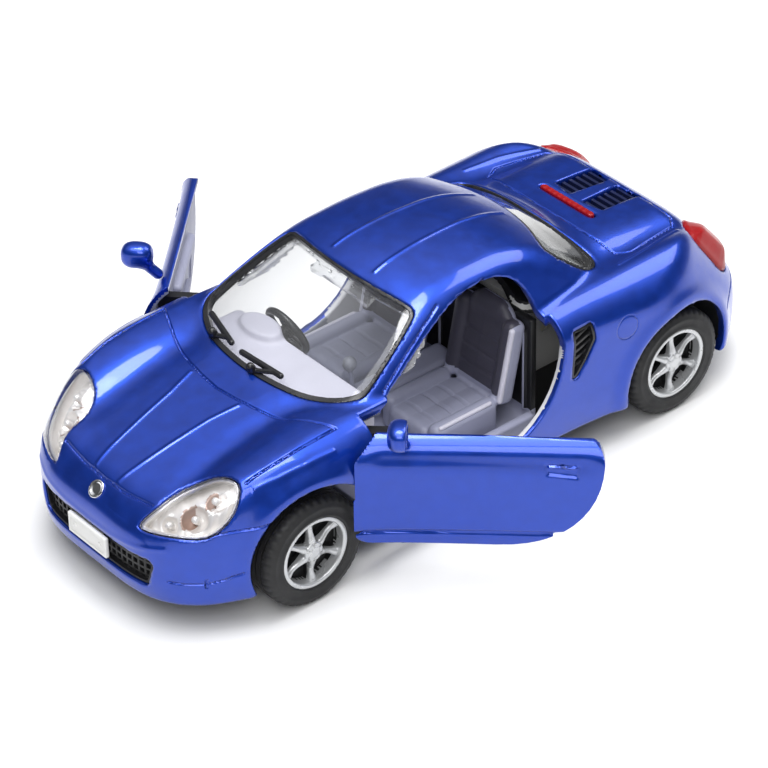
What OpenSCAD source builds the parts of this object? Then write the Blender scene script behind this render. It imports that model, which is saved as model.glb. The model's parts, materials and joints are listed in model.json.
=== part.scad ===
// Small die-cast coupe with opening doors and a spring motor on the rear axle.
// +X is forward, +Y is the car's left, +Z is up. The ground is z = 0.

/* [Body] */
// Overall length of the body
body_l = 122.5; // [121:0.5:124]
// Largest width of the body
body_w = 53.8; // [53:0.1:54.6]
// Height of the roof above the ground
roof_h = 40; // [39.6:0.1:40.4]
// Thickness of the cast shell
wall = 1.6; // [1.3:0.1:1.8]

/* [Wheels] */
// Distance between the axles
wheelbase = 76.5; // [76:0.1:77]
// Outer radius of a tyre
tyre_r = 9.6; // [9.4:0.1:9.8]
// Radius of the rim's outer edge
rim_r = 6.3; // [6:0.1:6.5]
// Distance from the centre line to a wheel's outer face
track_half = 25.3; // [25:0.1:25.6]
// Radius of an axle
axle_r = 1; // [0.8:0.05:1.1]
// Radial clearance of every running fit
run_gap = 0.05; // [0.03:0.01:0.08]

/* [Doors] */
// How far the doors stand open
door_open = 44; // [0:1:45]
// Gap around a closed door
door_gap = 0.4; // [0.3:0.05:0.5]
// Thickness of a door's skin
door_wall = 1.2; // [1:0.1:1.4]
// Radius of a door's hinge pin
pin_r = 1; // [0.8:0.05:1.1]

/* [Motor] */
// Module of the gears
gear_m = 0.5; // [0.48:0.01:0.5]
// Teeth of each small gear
pinion_n = 10; // [10:1:10]
// Teeth of the idler's large gear
idler_n = 24; // [24:1:24]
// Teeth of the gear on the spring's arbor
spring_n = 28; // [28:1:28]

/* [Hidden] */
$fn = 64;

// Profiles of the body as [x, value] points, joined by smooth curves.
NOSE_X = 62.4;
TAIL_X = 60.7;
TOP = [[-61, 25.6], [-57.5, 27.6], [-52, 28.7], [-44, 29.5], [-36, 30], [-26, 30.4], [0, 29.4],
    [20, 28.7], [29, 27.9], [37, 26.8], [45, 25.1], [52, 23.2], [57, 21.5], [61, 19.2]];
CREST = [[-61, 24], [-56, 27.2], [-50, 29], [-42, 29.8], [-32, 29.7], [-20, 29.2], [-8, 28.6],
    [6, 28.1], [18, 27.9], [28, 28.1], [36, 27.7], [43, 26.7], [49, 25.2], [54, 23.2], [58, 21],
    [61, 18.5]];
HALF = [[-60, 24.6], [-53, 25.6], [-46, 26.5], [-38, 26.9], [-28, 26.4], [-18, 25.5],
    [-8, 25.2], [6, 25.1], [18, 25.3], [27, 25.9], [36, 26.4], [44, 26], [52, 24.8], [60, 23]];
ROOF = [[-38, 27], [-34, 29], [-30, 31.1], [-25, 33.9], [-20, 36.6], [-15, 38.6], [-10, 39.7],
    [-5, 40], [0, 39.95], [5, 39.5], [10, 38.8], [16, 37.3], [24, 34.5]];
CABIN_HALF = [[-38, 14.5], [-32, 16.8], [-26, 18.6], [-18, 20], [-8, 20.9], [4, 21.2],
    [14, 20.9], [20, 20.4], [26, 19.4], [32, 18]];
SECTION_Z = 14;
SILL_Z = 6.1;
SHOULDER_Z = 23.3;
BELT_Z = 28;
STRETCH = [body_l / 122.5, body_w / 53.8, roof_h / 40];

front_x = 38;
rear_x = front_x - wheelbase;
axle_z = tyre_r;
bore_r = axle_r + run_gap;

function slope(t, i) = let (a = max(i - 1, 0), b = min(i + 1, len(t) - 1))
    (t[b][1] - t[a][1]) / (t[b][0] - t[a][0]);
function cubic(t, x) = let (
    n = len(t),
    i = min(n - 2, max([for (k = [0:n - 2]) t[k][0] <= x ? k : 0])),
    h = t[i + 1][0] - t[i][0],
    u = (min(max(x, t[0][0]), t[n - 1][0]) - t[i][0]) / h)
    (2 * u^3 - 3 * u^2 + 1) * t[i][1] + (u^3 - 2 * u^2 + u) * h * slope(t, i)
    + (3 * u^2 - 2 * u^3) * t[i + 1][1] + (u^3 - u^2) * h * slope(t, i + 1);
function ease(a, b, x) = let (t = min(max((x - a) / (b - a), 0), 1)) t * t * (3 - 2 * t);
function both(a, b, k) = let (h = max(k - abs(a - b), 0) / k) max(a, b) + h * h * k / 4;
function either(a, b, k) = -both(-a, -b, k);

// Everything about one cross section that depends only on x.
function station(x) = [cubic(TOP, x), cubic(CREST, x), cubic(HALF, x), cubic(ROOF, x),
    cubic(CABIN_HALF, x), ease(20, 34, x), ease(-22, -36, x)];

// Distance outside the lower body: top surface, sides, nose and tail blended together.
function body_field(x, y, z, s, floor_z) = let (
    a = abs(y),
    valley_y = 12.5 * s[5] + 15.8 * (1 - s[5]),
    valley = (0.9 * s[5] * ease(60, 50, x) + 1.25 * s[6] * ease(-60, -50, x))
        * exp(-((a - valley_y) / 3)^2),
    top = s[0] + (s[1] - s[0]) * ease(7, 20, a) - valley - 0.05 * max(a - 20, 0)^2,
    side = s[2] - 0.075 * max(z - SHOULDER_Z, 0)^2 - 0.012 * max(13 - z, 0)^2,
    nose = NOSE_X - 16.7 * (a / 25.5)^4.2 - 0.03 * max(z - 14, 0)^2 - 0.02 * max(11 - z, 0)^2,
    tail = TAIL_X + 0.2 - 13 * (a / 25.5)^5 - 0.45 * (z - 16 + sqrt((z - 16)^2 + 4))
        - 0.02 * max(12 - z, 0)^2,
    upper = both((z - top) * 0.97, a - side, 3.2 + 1.6 * s[5] + 1.4 * s[6]),
    ahead = both(upper, (x - nose) / sqrt(1 + (2.75 * (a / 25.5)^3.2)^2), 4),
    closed = both(ahead, (-x - tail) / sqrt(1.3 + (2.55 * (a / 25.5)^4)^2), 2))
    both(closed, floor_z - 1.1 * ease(44, 52, x) - z, 1.2);

// Distance outside the cabin: roof, leaning sides and windscreen.
function cabin_field(x, y, z, s) = let (
    a = abs(y),
    crown = (1.75 + 0.9 * ease(-12, -28, x)) * (a / 16)^2,
    roof = (z - s[3] + crown) * (1 - 0.13 * ease(-12, -20, x)),
    side = (a - s[4] + 0.5 * (z - BELT_Z)) * 0.894,
    screen = (x - 30.5 + 2 * (z - BELT_Z) + 5.5 * (y / 19)^2) / 2.3)
    both(both(both(both(roof, side, 2.6), screen, 1.4), -40 - x, 1), 24 - z, 1);
function form(x, y, z, s, floor_z) =
    either(body_field(x, y, z, s, floor_z), cabin_field(x, y, z, s), 1);

// Where a ray from the section's centre leaves the form, by halving the interval.
function reach(x, s, c, level, floor_z, near, far, steps) = let (mid = (near + far) / 2)
    steps == 0 ? mid
    : form(x, mid * c[0], SECTION_Z + mid * c[1], s, floor_z) + level > 0
        ? reach(x, s, c, level, floor_z, near, mid, steps - 1)
        : reach(x, s, c, level, floor_z, mid, far, steps - 1);
function section(x, level, floor_z, spokes) = let (
    s = station(x),
    half = [for (j = [0:spokes]) let (
        a = -90 + 180 * j / spokes,
        r = reach(x, s, [cos(a), sin(a)], level, floor_z, 0, 48, 13))
        [x, r * cos(a), SECTION_Z + r * sin(a)]])
    concat(half, [for (j = [spokes - 1:-1:1]) [x, -half[j][1], half[j][2]]]);

// Closed skin of the body, moved inwards by level, with a section at each station.
module skin(level, floor_z, stations, spokes) {
    middle = (NOSE_X - TAIL_X) / 2;
    ends = (NOSE_X + TAIL_X) / 2 - 0.25 - level;
    rows = [for (i = [0:stations])
        section(middle + ends * sin(90 * (2 * i / stations - 1)), level, floor_z, spokes)];
    ring = 2 * spokes;
    scale(STRETCH)
        polyhedron(
            points = [for (row = rows) each row],
            faces = concat(
                [[for (j = [0:ring - 1]) j]],
                [[for (j = [ring - 1:-1:0]) stations * ring + j]],
                [for (i = [0:stations - 1], j = [0:ring - 1]) let (
                    k = (j + 1) % ring, a = i * ring, b = a + ring)
                    each [[a + j, b + j, b + k], [a + j, b + k, a + k]]]));
}
fine = [38, 22];
plain = [30, 18];
module outer() skin(0, SILL_Z, fine[0], fine[1]);
module cavity() skin(wall, 2, plain[0], plain[1]);

// Places one part on the car's left (side = 1) or right (side = -1).
module on(side) mirror([0, side > 0 ? 0 : 1, 0]) children();
module aim(d) rotate([0, acos(d[2] / norm(d)), atan2(d[1], d[0])]) children();
// Solid with parallel rods through the given points as its corners.
module prism(points, d, r, h)
    hull() for (p = points) translate(p) aim(d) cylinder(r = r, h = h, center = true, $fn = 24);
// Plate seen from the side: an outline in x and z, drawn out along y; r rounds its corners.
module side_plate(points, y0, y1, r = 0)
    translate([0, y1, 0]) rotate([90, 0, 0]) linear_extrude(y1 - y0)
        offset(r = r) offset(delta = -r) polygon(points);

// Door outline: straight front edge, flat sill and one long curve behind.
DOOR_TOP = 29.6;
DOOR_INNER = 21.9;
DOOR_FRONT = 25;
DOOR_LOW = 8;
DOOR_CURVE = [[-13, DOOR_TOP], [-15, 17.5], [-8.5, DOOR_LOW], [3, DOOR_LOW]];
function bezier(p, t) = (1 - t)^3 * p[0] + 3 * (1 - t)^2 * t * p[1] + 3 * (1 - t) * t^2 * p[2]
    + t^3 * p[3];
door_outline = concat([for (i = [0:14]) bezier(DOOR_CURVE, i / 14)],
    [[DOOR_FRONT - 1.2, DOOR_LOW], [DOOR_FRONT, 9.4], [DOOR_FRONT, DOOR_TOP]]);
corner_r = 1.6;
window_outline = [[21.5, 26], [20.6, 27.7], [12.7, 32.2], [6.7, 35.2], [0, 36.7], [-5, 36.7],
    [-9.2, 35.4], [-11.4, 32.7], [-12.6, 29], [-13.1, 26]];

HEADLIGHT = [[59, 11.3, 17.9], [53.8, 13.4, 22], [49.6, 17, 24.8], [49.2, 20.4, 24],
    [51.6, 20.8, 20.4], [55.4, 18.8, 17.8]];
HEADLIGHT_DIR = [0.6, 0.4, 0.7];
TAILLIGHT = [[-46.6, 18.4, 28.2], [-49.8, 19.2, 24.2], [-53.8, 19, 19.9], [-56.4, 14.4, 19.8],
    [-53.6, 10.8, 24], [-49.6, 9.6, 28]];
TAILLIGHT_DIR = [-0.75, 0.25, 0.6];
INTAKE = [[-18.3, 26, 25.8], [-16.8, 26, 24.8], [-16.2, 26, 18], [-20, 26, 23.2]];
lamp_r = 0.8;
fit_gap = 0.15;

HINGE = [29.3, 18.3];
BOSSES = [[49, 0], [-53.5, 8], [-53.5, -8]];
boss_r = 2.6;
screw_r = 1;

module wheel_wells()
    for (side = [1, -1], w = [[front_x, axle_z + 1.2, 11.4], [rear_x, axle_z, 11.8]])
        translate([w[0], side * 23.5, w[1]])
            rotate([90, 0, 0]) cylinder(r = w[2], h = 12, center = true);

module window_openings() {
    rotate([90, 0, 90]) translate([0, 0, 8])
        linear_extrude(32) polygon([[-15.2, 37], [-18.8, 28.2], [18.8, 28.2], [15.2, 37]]);
    rotate([90, 0, 90]) translate([0, 0, -42])
        linear_extrude(26) polygon([[-12.6, 37.2], [-16.8, 31.2], [16.8, 31.2], [12.6, 37.2]]);
}

// The wing's rear edge passes inside the door at this radius from the hinge.
front_gap = door_gap + 0.2;
swing_r = norm([DOOR_FRONT + front_gap, cubic(HALF, DOOR_FRONT)] - HINGE) + 0.2;

// Door and side window make one opening; the belt inside it is cut away with them.
module door_openings()
    for (side = [1, -1]) on(side) {
        side_plate(window_outline, 13, 30);
        translate([0, 30, 0]) rotate([90, 0, 0])
            linear_extrude(30 - DOOR_INNER + door_gap) {
                offset(delta = door_gap) polygon(door_outline);
                translate([front_gap, 0]) polygon(door_outline);
            }
        side_plate([[-12.8, 24], [-12.8, 28.2], [21.4, 28.2], [21.4, 24]], 13, 30);
    }

module lamp_openings()
    for (side = [1, -1]) on(side) {
        prism(HEADLIGHT, HEADLIGHT_DIR, lamp_r + fit_gap, 13);
        prism(TAILLIGHT, TAILLIGHT_DIR, lamp_r + fit_gap, 9);
        prism(INTAKE, [0, 1, 0], 0.6 + fit_gap, 9);
        prism([[-40.4, 4, 30], [-46.2, 4.4, 30]], [0, 0, 1], 1.9, 9);
    }

module body_shell() color([0.08, 0.16, 0.66]) {
    difference() {
        union() {
            difference() {
                outer();
                cavity();
            }
            intersection() {
                outer();
                for (b = BOSSES) translate([b[0], b[1], SILL_Z + 0.3]) cylinder(r = boss_r, h = 30);
            }
        }
        wheel_wells();
        window_openings();
        door_openings();
        lamp_openings();
        prism([[60, 11.6, 9.2], [60, 12.4, 12], [60, -11.6, 9.2], [60, -12.4, 12]],
            [1, 0, 0], 1.2, 9);
        prism([[-37, 6, 30], [-37, -6, 30]], [0, 0, 1], 0.75, 9);
        for (side = [1, -1]) translate([-64, side * 3.6, 8.4])
            rotate([0, 90, 0]) cylinder(r = 1.5, h = 12);
        for (b = BOSSES) translate([b[0], b[1], 0]) cylinder(r = screw_r + 0.1, h = 14);
    }
}

chassis_z = 4.6;
chassis_t = 1.3;
CHASSIS = [[55, 11], [50, 16.5], [26, 16.5], [24.5, 21.4], [-25.5, 21.4], [-27, 16.5],
    [-50, 16.5], [-55, 12]];
module mirrored(points) polygon(concat(points, [for (i = [len(points) - 1:-1:0])
    [points[i][0], -points[i][1]]]));
MOTOR = [-47, -16.4];
motor_half = 7.5;
motor_top = 24.6;

module chassis_plate() color([0.06, 0.06, 0.07])
    difference() {
        union() {
            translate([0, 0, chassis_z]) linear_extrude(chassis_t) mirrored(CHASSIS);
            for (x = [front_x, rear_x], side = [1, -1])
                translate([x - 3, side * 14 - 1.5, chassis_z]) cube([6, 3, axle_z - chassis_z + 3]);
        }
        for (x = [front_x, rear_x])
            translate([x, 0, axle_z]) rotate([90, 0, 0]) cylinder(r = bore_r, h = 40, center = true);
        translate([MOTOR[0] - 0.2, -motor_half - 0.2, 0])
            cube([MOTOR[1] - MOTOR[0] + 0.4, 2 * motor_half + 0.4, 10]);
        for (b = BOSSES) translate([b[0], b[1], 0]) {
            cylinder(r = screw_r + 0.1, h = 10);
            cylinder(r = 2.1, h = chassis_z + 0.5);
        }
    }

module chassis_screws() color([0.7, 0.7, 0.72])
    for (b = BOSSES) translate([b[0], b[1], chassis_z + 0.5]) difference() {
        union() {
            translate([0, 0, -0.4]) cylinder(r = 1.9, h = 0.38);
            cylinder(r = screw_r, h = 8);
        }
        for (a = [0, 90]) rotate(a) translate([-1.2, -0.2, -1]) cube([2.4, 0.4, 0.95]);
    }

// Clear moulding pressed up inside the cabin: both screens and the strip that joins them.
glass_t = 0.9;
module window_glazing() color([0.85, 0.9, 0.95, 0.35])
    difference() {
        skin(wall + 0.12, 2, plain[0], plain[1]);
        skin(wall + 0.12 + glass_t, 1, plain[0], plain[1]);
        translate([-80, -40, -1]) cube([160, 80, BELT_Z + 1.4]);
        for (side = [1, -1]) {
            prism([[-18, side * 18, 25], [7, side * 18, 25], [7, side * 18, 45], [-18, side * 18, 45]],
                [0, 0, 1], 4, 60);
            for (x = [28, -32]) prism([[x, side * 24, 25], [x, side * 24, 45]], [0, 0, 1], 3, 9);
        }
        prism([[-46, 10, 30], [-46, -10, 30]], [0, 0, 1], 8, 40);
        prism([[44, 10, 30], [44, -10, 30]], [0, 0, 1], 8, 40);
    }

// Rounded block given by its two corners; r rounds the edges that run along y.
module soft_box(a, b, r)
    hull() for (x = [a[0] + r, b[0] - r], z = [a[2] + r, b[2] - r])
        translate([x, a[1], z]) rotate([-90, 0, 0]) cylinder(r = r, h = b[1] - a[1], $fn = 24);
SEAT_Y = 10.6;
module seat() {
    soft_box([-7, SEAT_Y - 4.6, 7], [7.5, SEAT_Y + 4.6, 12.4], 1.6);
    for (side = [1, -1])
        soft_box([-6, SEAT_Y + side * 5.6 - 1.4, 7], [7, SEAT_Y + side * 5.6 + 1.4, 13.4], 1.4);
    translate([-7.4, 0, 11]) rotate([0, -12, 0]) {
        soft_box([-2.2, SEAT_Y - 4.4, 0], [0.8, SEAT_Y + 4.4, 14], 1.2);
        for (side = [1, -1])
            soft_box([-2, SEAT_Y + side * 5.4 - 1.3, 1], [1.6, SEAT_Y + side * 5.4 + 1.3, 12.4], 1.2);
        soft_box([-1.8, SEAT_Y - 2.8, 14], [0.6, SEAT_Y + 2.8, 17.6], 1.1);
    }
}
module interior_tub() color([0.62, 0.64, 0.78]) {
    translate([-12, -20, chassis_z + chassis_t]) cube([35, 40, 1.4]);
    translate([-12.6, -16, 6.5]) cube([0.9, 32, 20.5]);
    soft_box([-11, -2.8, 6.5], [21, 2.8, 12.5], 1.2);
    for (side = [1, -1]) on(side) seat();
}

module dashboard() color([0.72, 0.72, 0.8]) {
    soft_box([18.6, -15.4, 19], [26.6, 15.4, 26], 1.8);
    translate([23, -2.6, 12.7]) cube([1.2, 5.2, 7]);
}

WHEEL_AT = [15, -9.6, 22.6];
module steering_wheel() color([0.16, 0.16, 0.18])
    translate(WHEEL_AT) rotate([0, -68, 0]) {
        rotate_extrude() translate([4.2, 0]) circle(r = 0.6, $fn = 24);
        difference() {
            for (a = [0, 120, 240]) rotate(a) translate([0, -0.5, -0.35]) cube([4.2, 1, 0.7]);
            rotate_extrude() translate([4.2, 0]) circle(r = 0.55, $fn = 24);
        }
        translate([0, 0, -4.2]) cylinder(r = 1.1, h = 4.9);
    }

module lens(side, points, tone) color(tone)
    on(side) hull() for (p = points) translate(p) sphere(r = lamp_r, $fn = 20);
function sunk(points, d, by) = [for (p = points) p - by * d / norm(d)];
module bowl(side) color([0.85, 0.86, 0.88])
    on(side) difference() {
        prism(sunk(HEADLIGHT, HEADLIGHT_DIR, 4.6), HEADLIGHT_DIR, lamp_r, 3);
        translate(sunk([[54.6, 17, 20.4]], HEADLIGHT_DIR, 2.6)[0])
            aim(HEADLIGHT_DIR) sphere(r = 2.4, $fn = 32);
    }
module left_headlight_lens() lens(1, sunk(HEADLIGHT, HEADLIGHT_DIR, 1.6), [0.9, 0.93, 0.95, 0.35]);
module right_headlight_lens() lens(-1, sunk(HEADLIGHT, HEADLIGHT_DIR, 1.6), [0.9, 0.93, 0.95, 0.35]);
module left_headlight_bowl() bowl(1);
module right_headlight_bowl() bowl(-1);
module left_taillight() lens(1, sunk(TAILLIGHT, TAILLIGHT_DIR, 0.8), [0.75, 0.04, 0.05]);
module right_taillight() lens(-1, sunk(TAILLIGHT, TAILLIGHT_DIR, 0.8), [0.75, 0.04, 0.05]);

module brake_light() color([0.75, 0.04, 0.05])
    prism([[-37, 5.9, 29.7], [-37, -5.9, 29.7]], [0, 0, 1], 0.6, 2.4);
module front_grille() color([0.05, 0.05, 0.05])
    prism([[59, 11.4, 9.3], [59, 12.2, 11.8], [59, -11.4, 9.3], [59, -12.2, 11.8]],
        [1, 0, 0], 1, 1.6);
module plate(x, z) color([0.9, 0.9, 0.9])
    translate([x - 0.4, -4.9, z - 1.9]) cube([0.8, 9.8, 3.8]);
// The front plate stands on a foot, ahead of the grille.
module front_plate() {
    plate(62.6, 11.2);
    color([0.9, 0.9, 0.9]) translate([59.82, -2, 10]) cube([2.4, 4, 2.4]);
}
module rear_plate() plate(-60.9, 13);
module nose_roundel() color([0.8, 0.8, 0.82])
    translate([60.9, 0, 19.3]) rotate([0, 48, 0]) cylinder(r = 1.7, h = 0.7);

// A point standing off the windscreen, at a place in y and z.
function on_screen(y, z) = [30.5 - 2 * (z - BELT_Z) - 5.5 * (y / 19)^2, y, z] + [0.3, 0, 0.6];
module wiper(y, reach)
    hull() for (end = [[y, 28.5], [y + reach, 29.1]])
        translate(on_screen(end[0], end[1])) sphere(r = 0.4, $fn = 16);
module wipers() color([0.05, 0.05, 0.05]) {
    wiper(-14.4, 8.8);
    wiper(-2.8, 9.4);
}

module intake(side) color([0.04, 0.04, 0.05])
    on(side) prism([for (p = INTAKE) [p[0], 23.4, p[2]]], [0, 1, 0], 0.6, 1.2);
module left_intake_grille() intake(1);
module right_intake_grille() intake(-1);
module engine_vent_panel() color([0.05, 0.05, 0.06])
    difference() {
        translate([-48, -6, 25.6]) cube([9.6, 12, 1]);
        for (x = [-46.4:2:-40]) translate([x, -5, 25]) cube([0.8, 10, 2]);
    }
module exhaust_tips() color([0.7, 0.7, 0.72])
    for (side = [1, -1]) translate([-62, side * 3.6, 8.4]) rotate([0, 90, 0]) difference() {
        cylinder(r = 1.3, h = 8);
        translate([0, 0, -1]) cylinder(r = 0.95, h = 6);
    }

// Turns a part of a door from the closed place to where it stands open.
module swung(side) on(side)
    translate([HINGE[0], HINGE[1], 0]) rotate([0, 0, -door_open])
        translate([-HINGE[0], -HINGE[1], 0]) children();
function groove_point(t) = let (p = bezier(DOOR_CURVE, t)) [p[0] + 2.2 * (1 - t), p[1] + 2.4 * t];
module door(side) color([0.08, 0.16, 0.66])
    swung(side) difference() {
        intersection() {
            outer();
            side_plate(door_outline, DOOR_INNER, 30, corner_r);
        }
        skin(door_wall, 2, fine[0], fine[1]);
        // the front edge is relieved inside, so it swings past the wing
        translate([HINGE[0], HINGE[1], 0]) cylinder(r = swing_r, h = 60);
        for (i = [0:7]) hull() for (k = [i, i + 1])
            translate([-4 + k * 3.2, 26, 10.6]) sphere(r = 0.75, $fn = 12);
        prism([[-8, 26.2, 23.4], [-4.4, 26.2, 23.4]], [0, 1, 0], 0.8, 2.4);
    }
module left_door() door(1);
module right_door() door(-1);

module card(side) color([0.6, 0.6, 0.7])
    swung(side) {
        side_plate([[-10.4, 24.4], [-10.4, 18], [-8, 13.6], [-4, 10.6], [1, 9.4], [17, 9.4],
            [17, 24.4]], 22.5, 23.5);
        translate([-2, 21.3, 17.4]) cube([14, 1.2, 1.6]);
        for (x = [0, 14]) translate([x, 23.5, 16]) rotate([-90, 0, 0]) cylinder(r = 0.8, h = 0.8);
    }
module left_door_card() card(1);
module right_door_card() card(-1);

MIRROR = [17.6, 27.4, 31];
module wing_mirror(side) color([0.08, 0.16, 0.66])
    swung(side) {
        hull() for (y = [-0.6, 0.6])
            translate(MIRROR + [0, y, 0]) scale([0.95, 1, 1]) sphere(r = 2.1, $fn = 20);
        hull() {
            translate(MIRROR + [0, -0.9, -1.2]) sphere(r = 0.8, $fn = 12);
            translate([17.2, 24.2, 27.2]) sphere(r = 0.8, $fn = 12);
        }
    }
module left_mirror() wing_mirror(1);
module right_mirror() wing_mirror(-1);

// Hinge: a crooked arm on the door carries the pin, between the two ears of a bracket.
ARM = [21.4, 24.1];
EAR = [1.3, 0.1];
module hinge_arm(side) color([0.78, 0.76, 0.7])
    swung(side) {
        translate([HINGE[0], HINGE[1], ARM[0]]) cylinder(r = 1.8, h = ARM[1] - ARM[0]);
        translate([0, 0, ARM[0]]) linear_extrude(ARM[1] - ARM[0])
            polygon([[HINGE[0] + 0.2, HINGE[1] - 1.75], [HINGE[0] - 0.6, HINGE[1] + 0.1],
                [19.2, 17.2], [19.2, 24.2], [17.6, 24.2], [17.6, 15.6], [27.8, 15.6]]);
        translate([HINGE[0], HINGE[1], ARM[0] - EAR[0] - EAR[1]])
            cylinder(r = pin_r, h = ARM[1] - ARM[0] + 2 * (EAR[0] + EAR[1]));
    }
module left_hinge_arm() hinge_arm(1);
module right_hinge_arm() hinge_arm(-1);

module hinge_bracket(side) color([0.62, 0.64, 0.78])
    on(side) difference() {
        union() {
            for (z = [ARM[0] - EAR[0] - EAR[1], ARM[1] + EAR[1]]) {
                translate([HINGE[0], HINGE[1], z]) cylinder(r = 1.9, h = EAR[0]);
                translate([HINGE[0], 17, z]) cube([3.6, 1.8, EAR[0]]);
            }
            translate([31.6, 17, chassis_z + chassis_t])
                cube([1.6, 1.8, ARM[1] + EAR[1] + EAR[0] - chassis_z - chassis_t]);
            translate([31.6, 14, chassis_z + chassis_t]) cube([1.6, 3, 2]);
        }
        translate([HINGE[0], HINGE[1], 0]) cylinder(r = pin_r + run_gap, h = 40);
    }
module left_hinge_bracket() hinge_bracket(1);
module right_hinge_bracket() hinge_bracket(-1);

// Wheels: an axle with a pressed-on rim at each end, and a tyre on each rim.
rim_w = 5.6;
module axle(x) color([0.72, 0.72, 0.74])
    translate([x, 0, axle_z]) rotate([90, 0, 0])
        cylinder(r = axle_r, h = 2 * (track_half - 1.2), center = true);
module front_axle() axle(front_x);
module rear_axle() axle(rear_x);

// A rim with its outer face up, on the z axis; z = 0 is the outer face.
module rim() color([0.82, 0.84, 0.86])
    difference() {
        union() {
            rotate_extrude() polygon([[4.7, -1.9], [5.5, -1.7], [5.7, -0.3], [5.9, 0], [6.2, 0],
                [rim_r, -0.2], [rim_r, -rim_w], [4.7, -rim_w]]);
            translate([0, 0, -2.8]) cylinder(r = 5, h = 0.9);
            translate([0, 0, -rim_w]) cylinder(r = 2.2, h = rim_w - 0.6);
            translate([0, 0, -1]) cylinder(r = 1.5, h = 0.9);
            for (a = [0:60:300]) rotate(a) translate([1, -0.7, -2]) cube([4.6, 1.4, 1.5]);
        }
        translate([0, 0, -rim_w - 1]) cylinder(r = axle_r, h = rim_w - 0.2);
    }
module placed(x, side) translate([x, side * track_half, axle_z]) rotate([-90 * side, 0, 0]) children();
module left_front_rim() placed(front_x, 1) rim();
module right_front_rim() placed(front_x, -1) rim();
module left_rear_rim() placed(rear_x, 1) rim();
module right_rear_rim() placed(rear_x, -1) rim();

module tyre() color([0.05, 0.05, 0.055])
    rotate_extrude() difference() {
        polygon([[rim_r, -0.1], [rim_r + 0.5, 0.15], [8.4, 0.2], [tyre_r - 0.35, -0.25],
            [tyre_r, -0.9], [tyre_r, -5.1], [tyre_r - 0.35, -5.7], [8.4, -6.1], [rim_r, -5.7]]);
        for (z = [-2, -4]) translate([tyre_r - 0.3, z - 0.2]) square([1, 0.4]);
    }
module left_front_tyre() placed(front_x, 1) tyre();
module right_front_tyre() placed(front_x, -1) tyre();
module left_rear_tyre() placed(rear_x, 1) tyre();
module right_rear_tyre() placed(rear_x, -1) tyre();

// Gear train from the spring's arbor through the idler to the rear axle.
function offset_by(p, d, a) = [p[0] + d * cos(a), p[1] + d * sin(a)];
AXLE_AT = [rear_x, axle_z];
IDLER_ANGLE = 60;
ARBOR_ANGLE = -20;
IDLER_AT = offset_by(AXLE_AT, gear_m * (pinion_n + idler_n) / 2, IDLER_ANGLE);
ARBOR_AT = offset_by(IDLER_AT, gear_m * (pinion_n + spring_n) / 2, ARBOR_ANGLE);
gear_pin_r = 0.8;

// Turn of a gear that meshes with one turned by a, when its centre lies in direction way.
function meshed(a, n, way, follower_n) =
    way + 180 + ((way - a) * n / 360 - 0.5) * 360 / follower_n;
idler_turn = meshed(0, pinion_n, IDLER_ANGLE, idler_n);
spring_turn = meshed(idler_turn, pinion_n, ARBOR_ANGLE, spring_n);

// Involute tooth flanks: half the angle a tooth covers at radius r.
press_a = 25;
function roll(c) = tan(c) * 180 / PI - c;
function half_tooth(n, r) = let (base = gear_m * n / 2 * cos(press_a))
    r <= base ? half_tooth(n, base + 0.0001) : 90 / n * 0.86 + roll(press_a) - roll(acos(base / r));
module gear(n, h, turn) {
    root = gear_m * (n / 2 - 1.15);
    tip = gear_m * (n / 2 + 0.85);
    radii = [for (k = [0:4]) root + (tip - root) * k / 4];
    rotate(turn) linear_extrude(h) polygon([for (i = [0:n - 1]) let (c = 360 * i / n) each concat(
        [for (r = radii) r * [cos(c - half_tooth(n, r)), sin(c - half_tooth(n, r))]],
        [for (k = [4:-1:0]) radii[k] * [cos(c + half_tooth(n, radii[k])),
            sin(c + half_tooth(n, radii[k]))]])]);
}
// Puts a part whose axis is z at a place in x and z, with its lower end at y.
module across(p, y) translate([p[0], y, p[1]]) rotate([90, 0, 0]) mirror([0, 0, 1]) children();
WIDE = [-5.8, 2.2];
NARROW = [-3.3, 2.2];

module drive_pinion() color([0.93, 0.9, 0.8])
    difference() {
        across(AXLE_AT, WIDE[0]) gear(pinion_n, WIDE[1], 0);
        across(AXLE_AT, -20) cylinder(r = axle_r, h = 40);
    }
module idler_gear() color([0.93, 0.9, 0.8]) {
    across(IDLER_AT, WIDE[0]) gear(idler_n, WIDE[1], idler_turn);
    across(IDLER_AT, WIDE[0] + WIDE[1]) gear(pinion_n, NARROW[0] + NARROW[1] - WIDE[0] - WIDE[1], idler_turn);
    across(IDLER_AT, -motor_half + 0.2) cylinder(r = gear_pin_r, h = 2 * motor_half - 0.4);
}
module spring_gear() color([0.93, 0.9, 0.8]) {
    across(ARBOR_AT, NARROW[0]) gear(spring_n, NARROW[1] - 0.2, spring_turn);
    across(ARBOR_AT, -motor_half + 0.2) cylinder(r = gear_pin_r, h = 2 * motor_half - 0.4);
    across(ARBOR_AT, NARROW[0]) cylinder(r = 1.5, h = 8);
}

// Flat strip wound in a spiral around the arbor; the outer end is held by the case.
spring_turns = 6;
spring_in = 1.9;
spring_out = 6.4;
strip_t = 0.3;
function coil(a, side) = let (r = spring_in + (spring_out - spring_in) * a / 360 / spring_turns)
    (r + side * strip_t / 2) * [cos(a), sin(a)];
module mainspring() color([0.55, 0.57, 0.6])
    across(ARBOR_AT, -0.2) linear_extrude(4.6)
        polygon(concat([for (a = [0:15:360 * spring_turns]) coil(a, 1)],
            [for (a = [360 * spring_turns:-15:0]) coil(a, -1)]));

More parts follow.
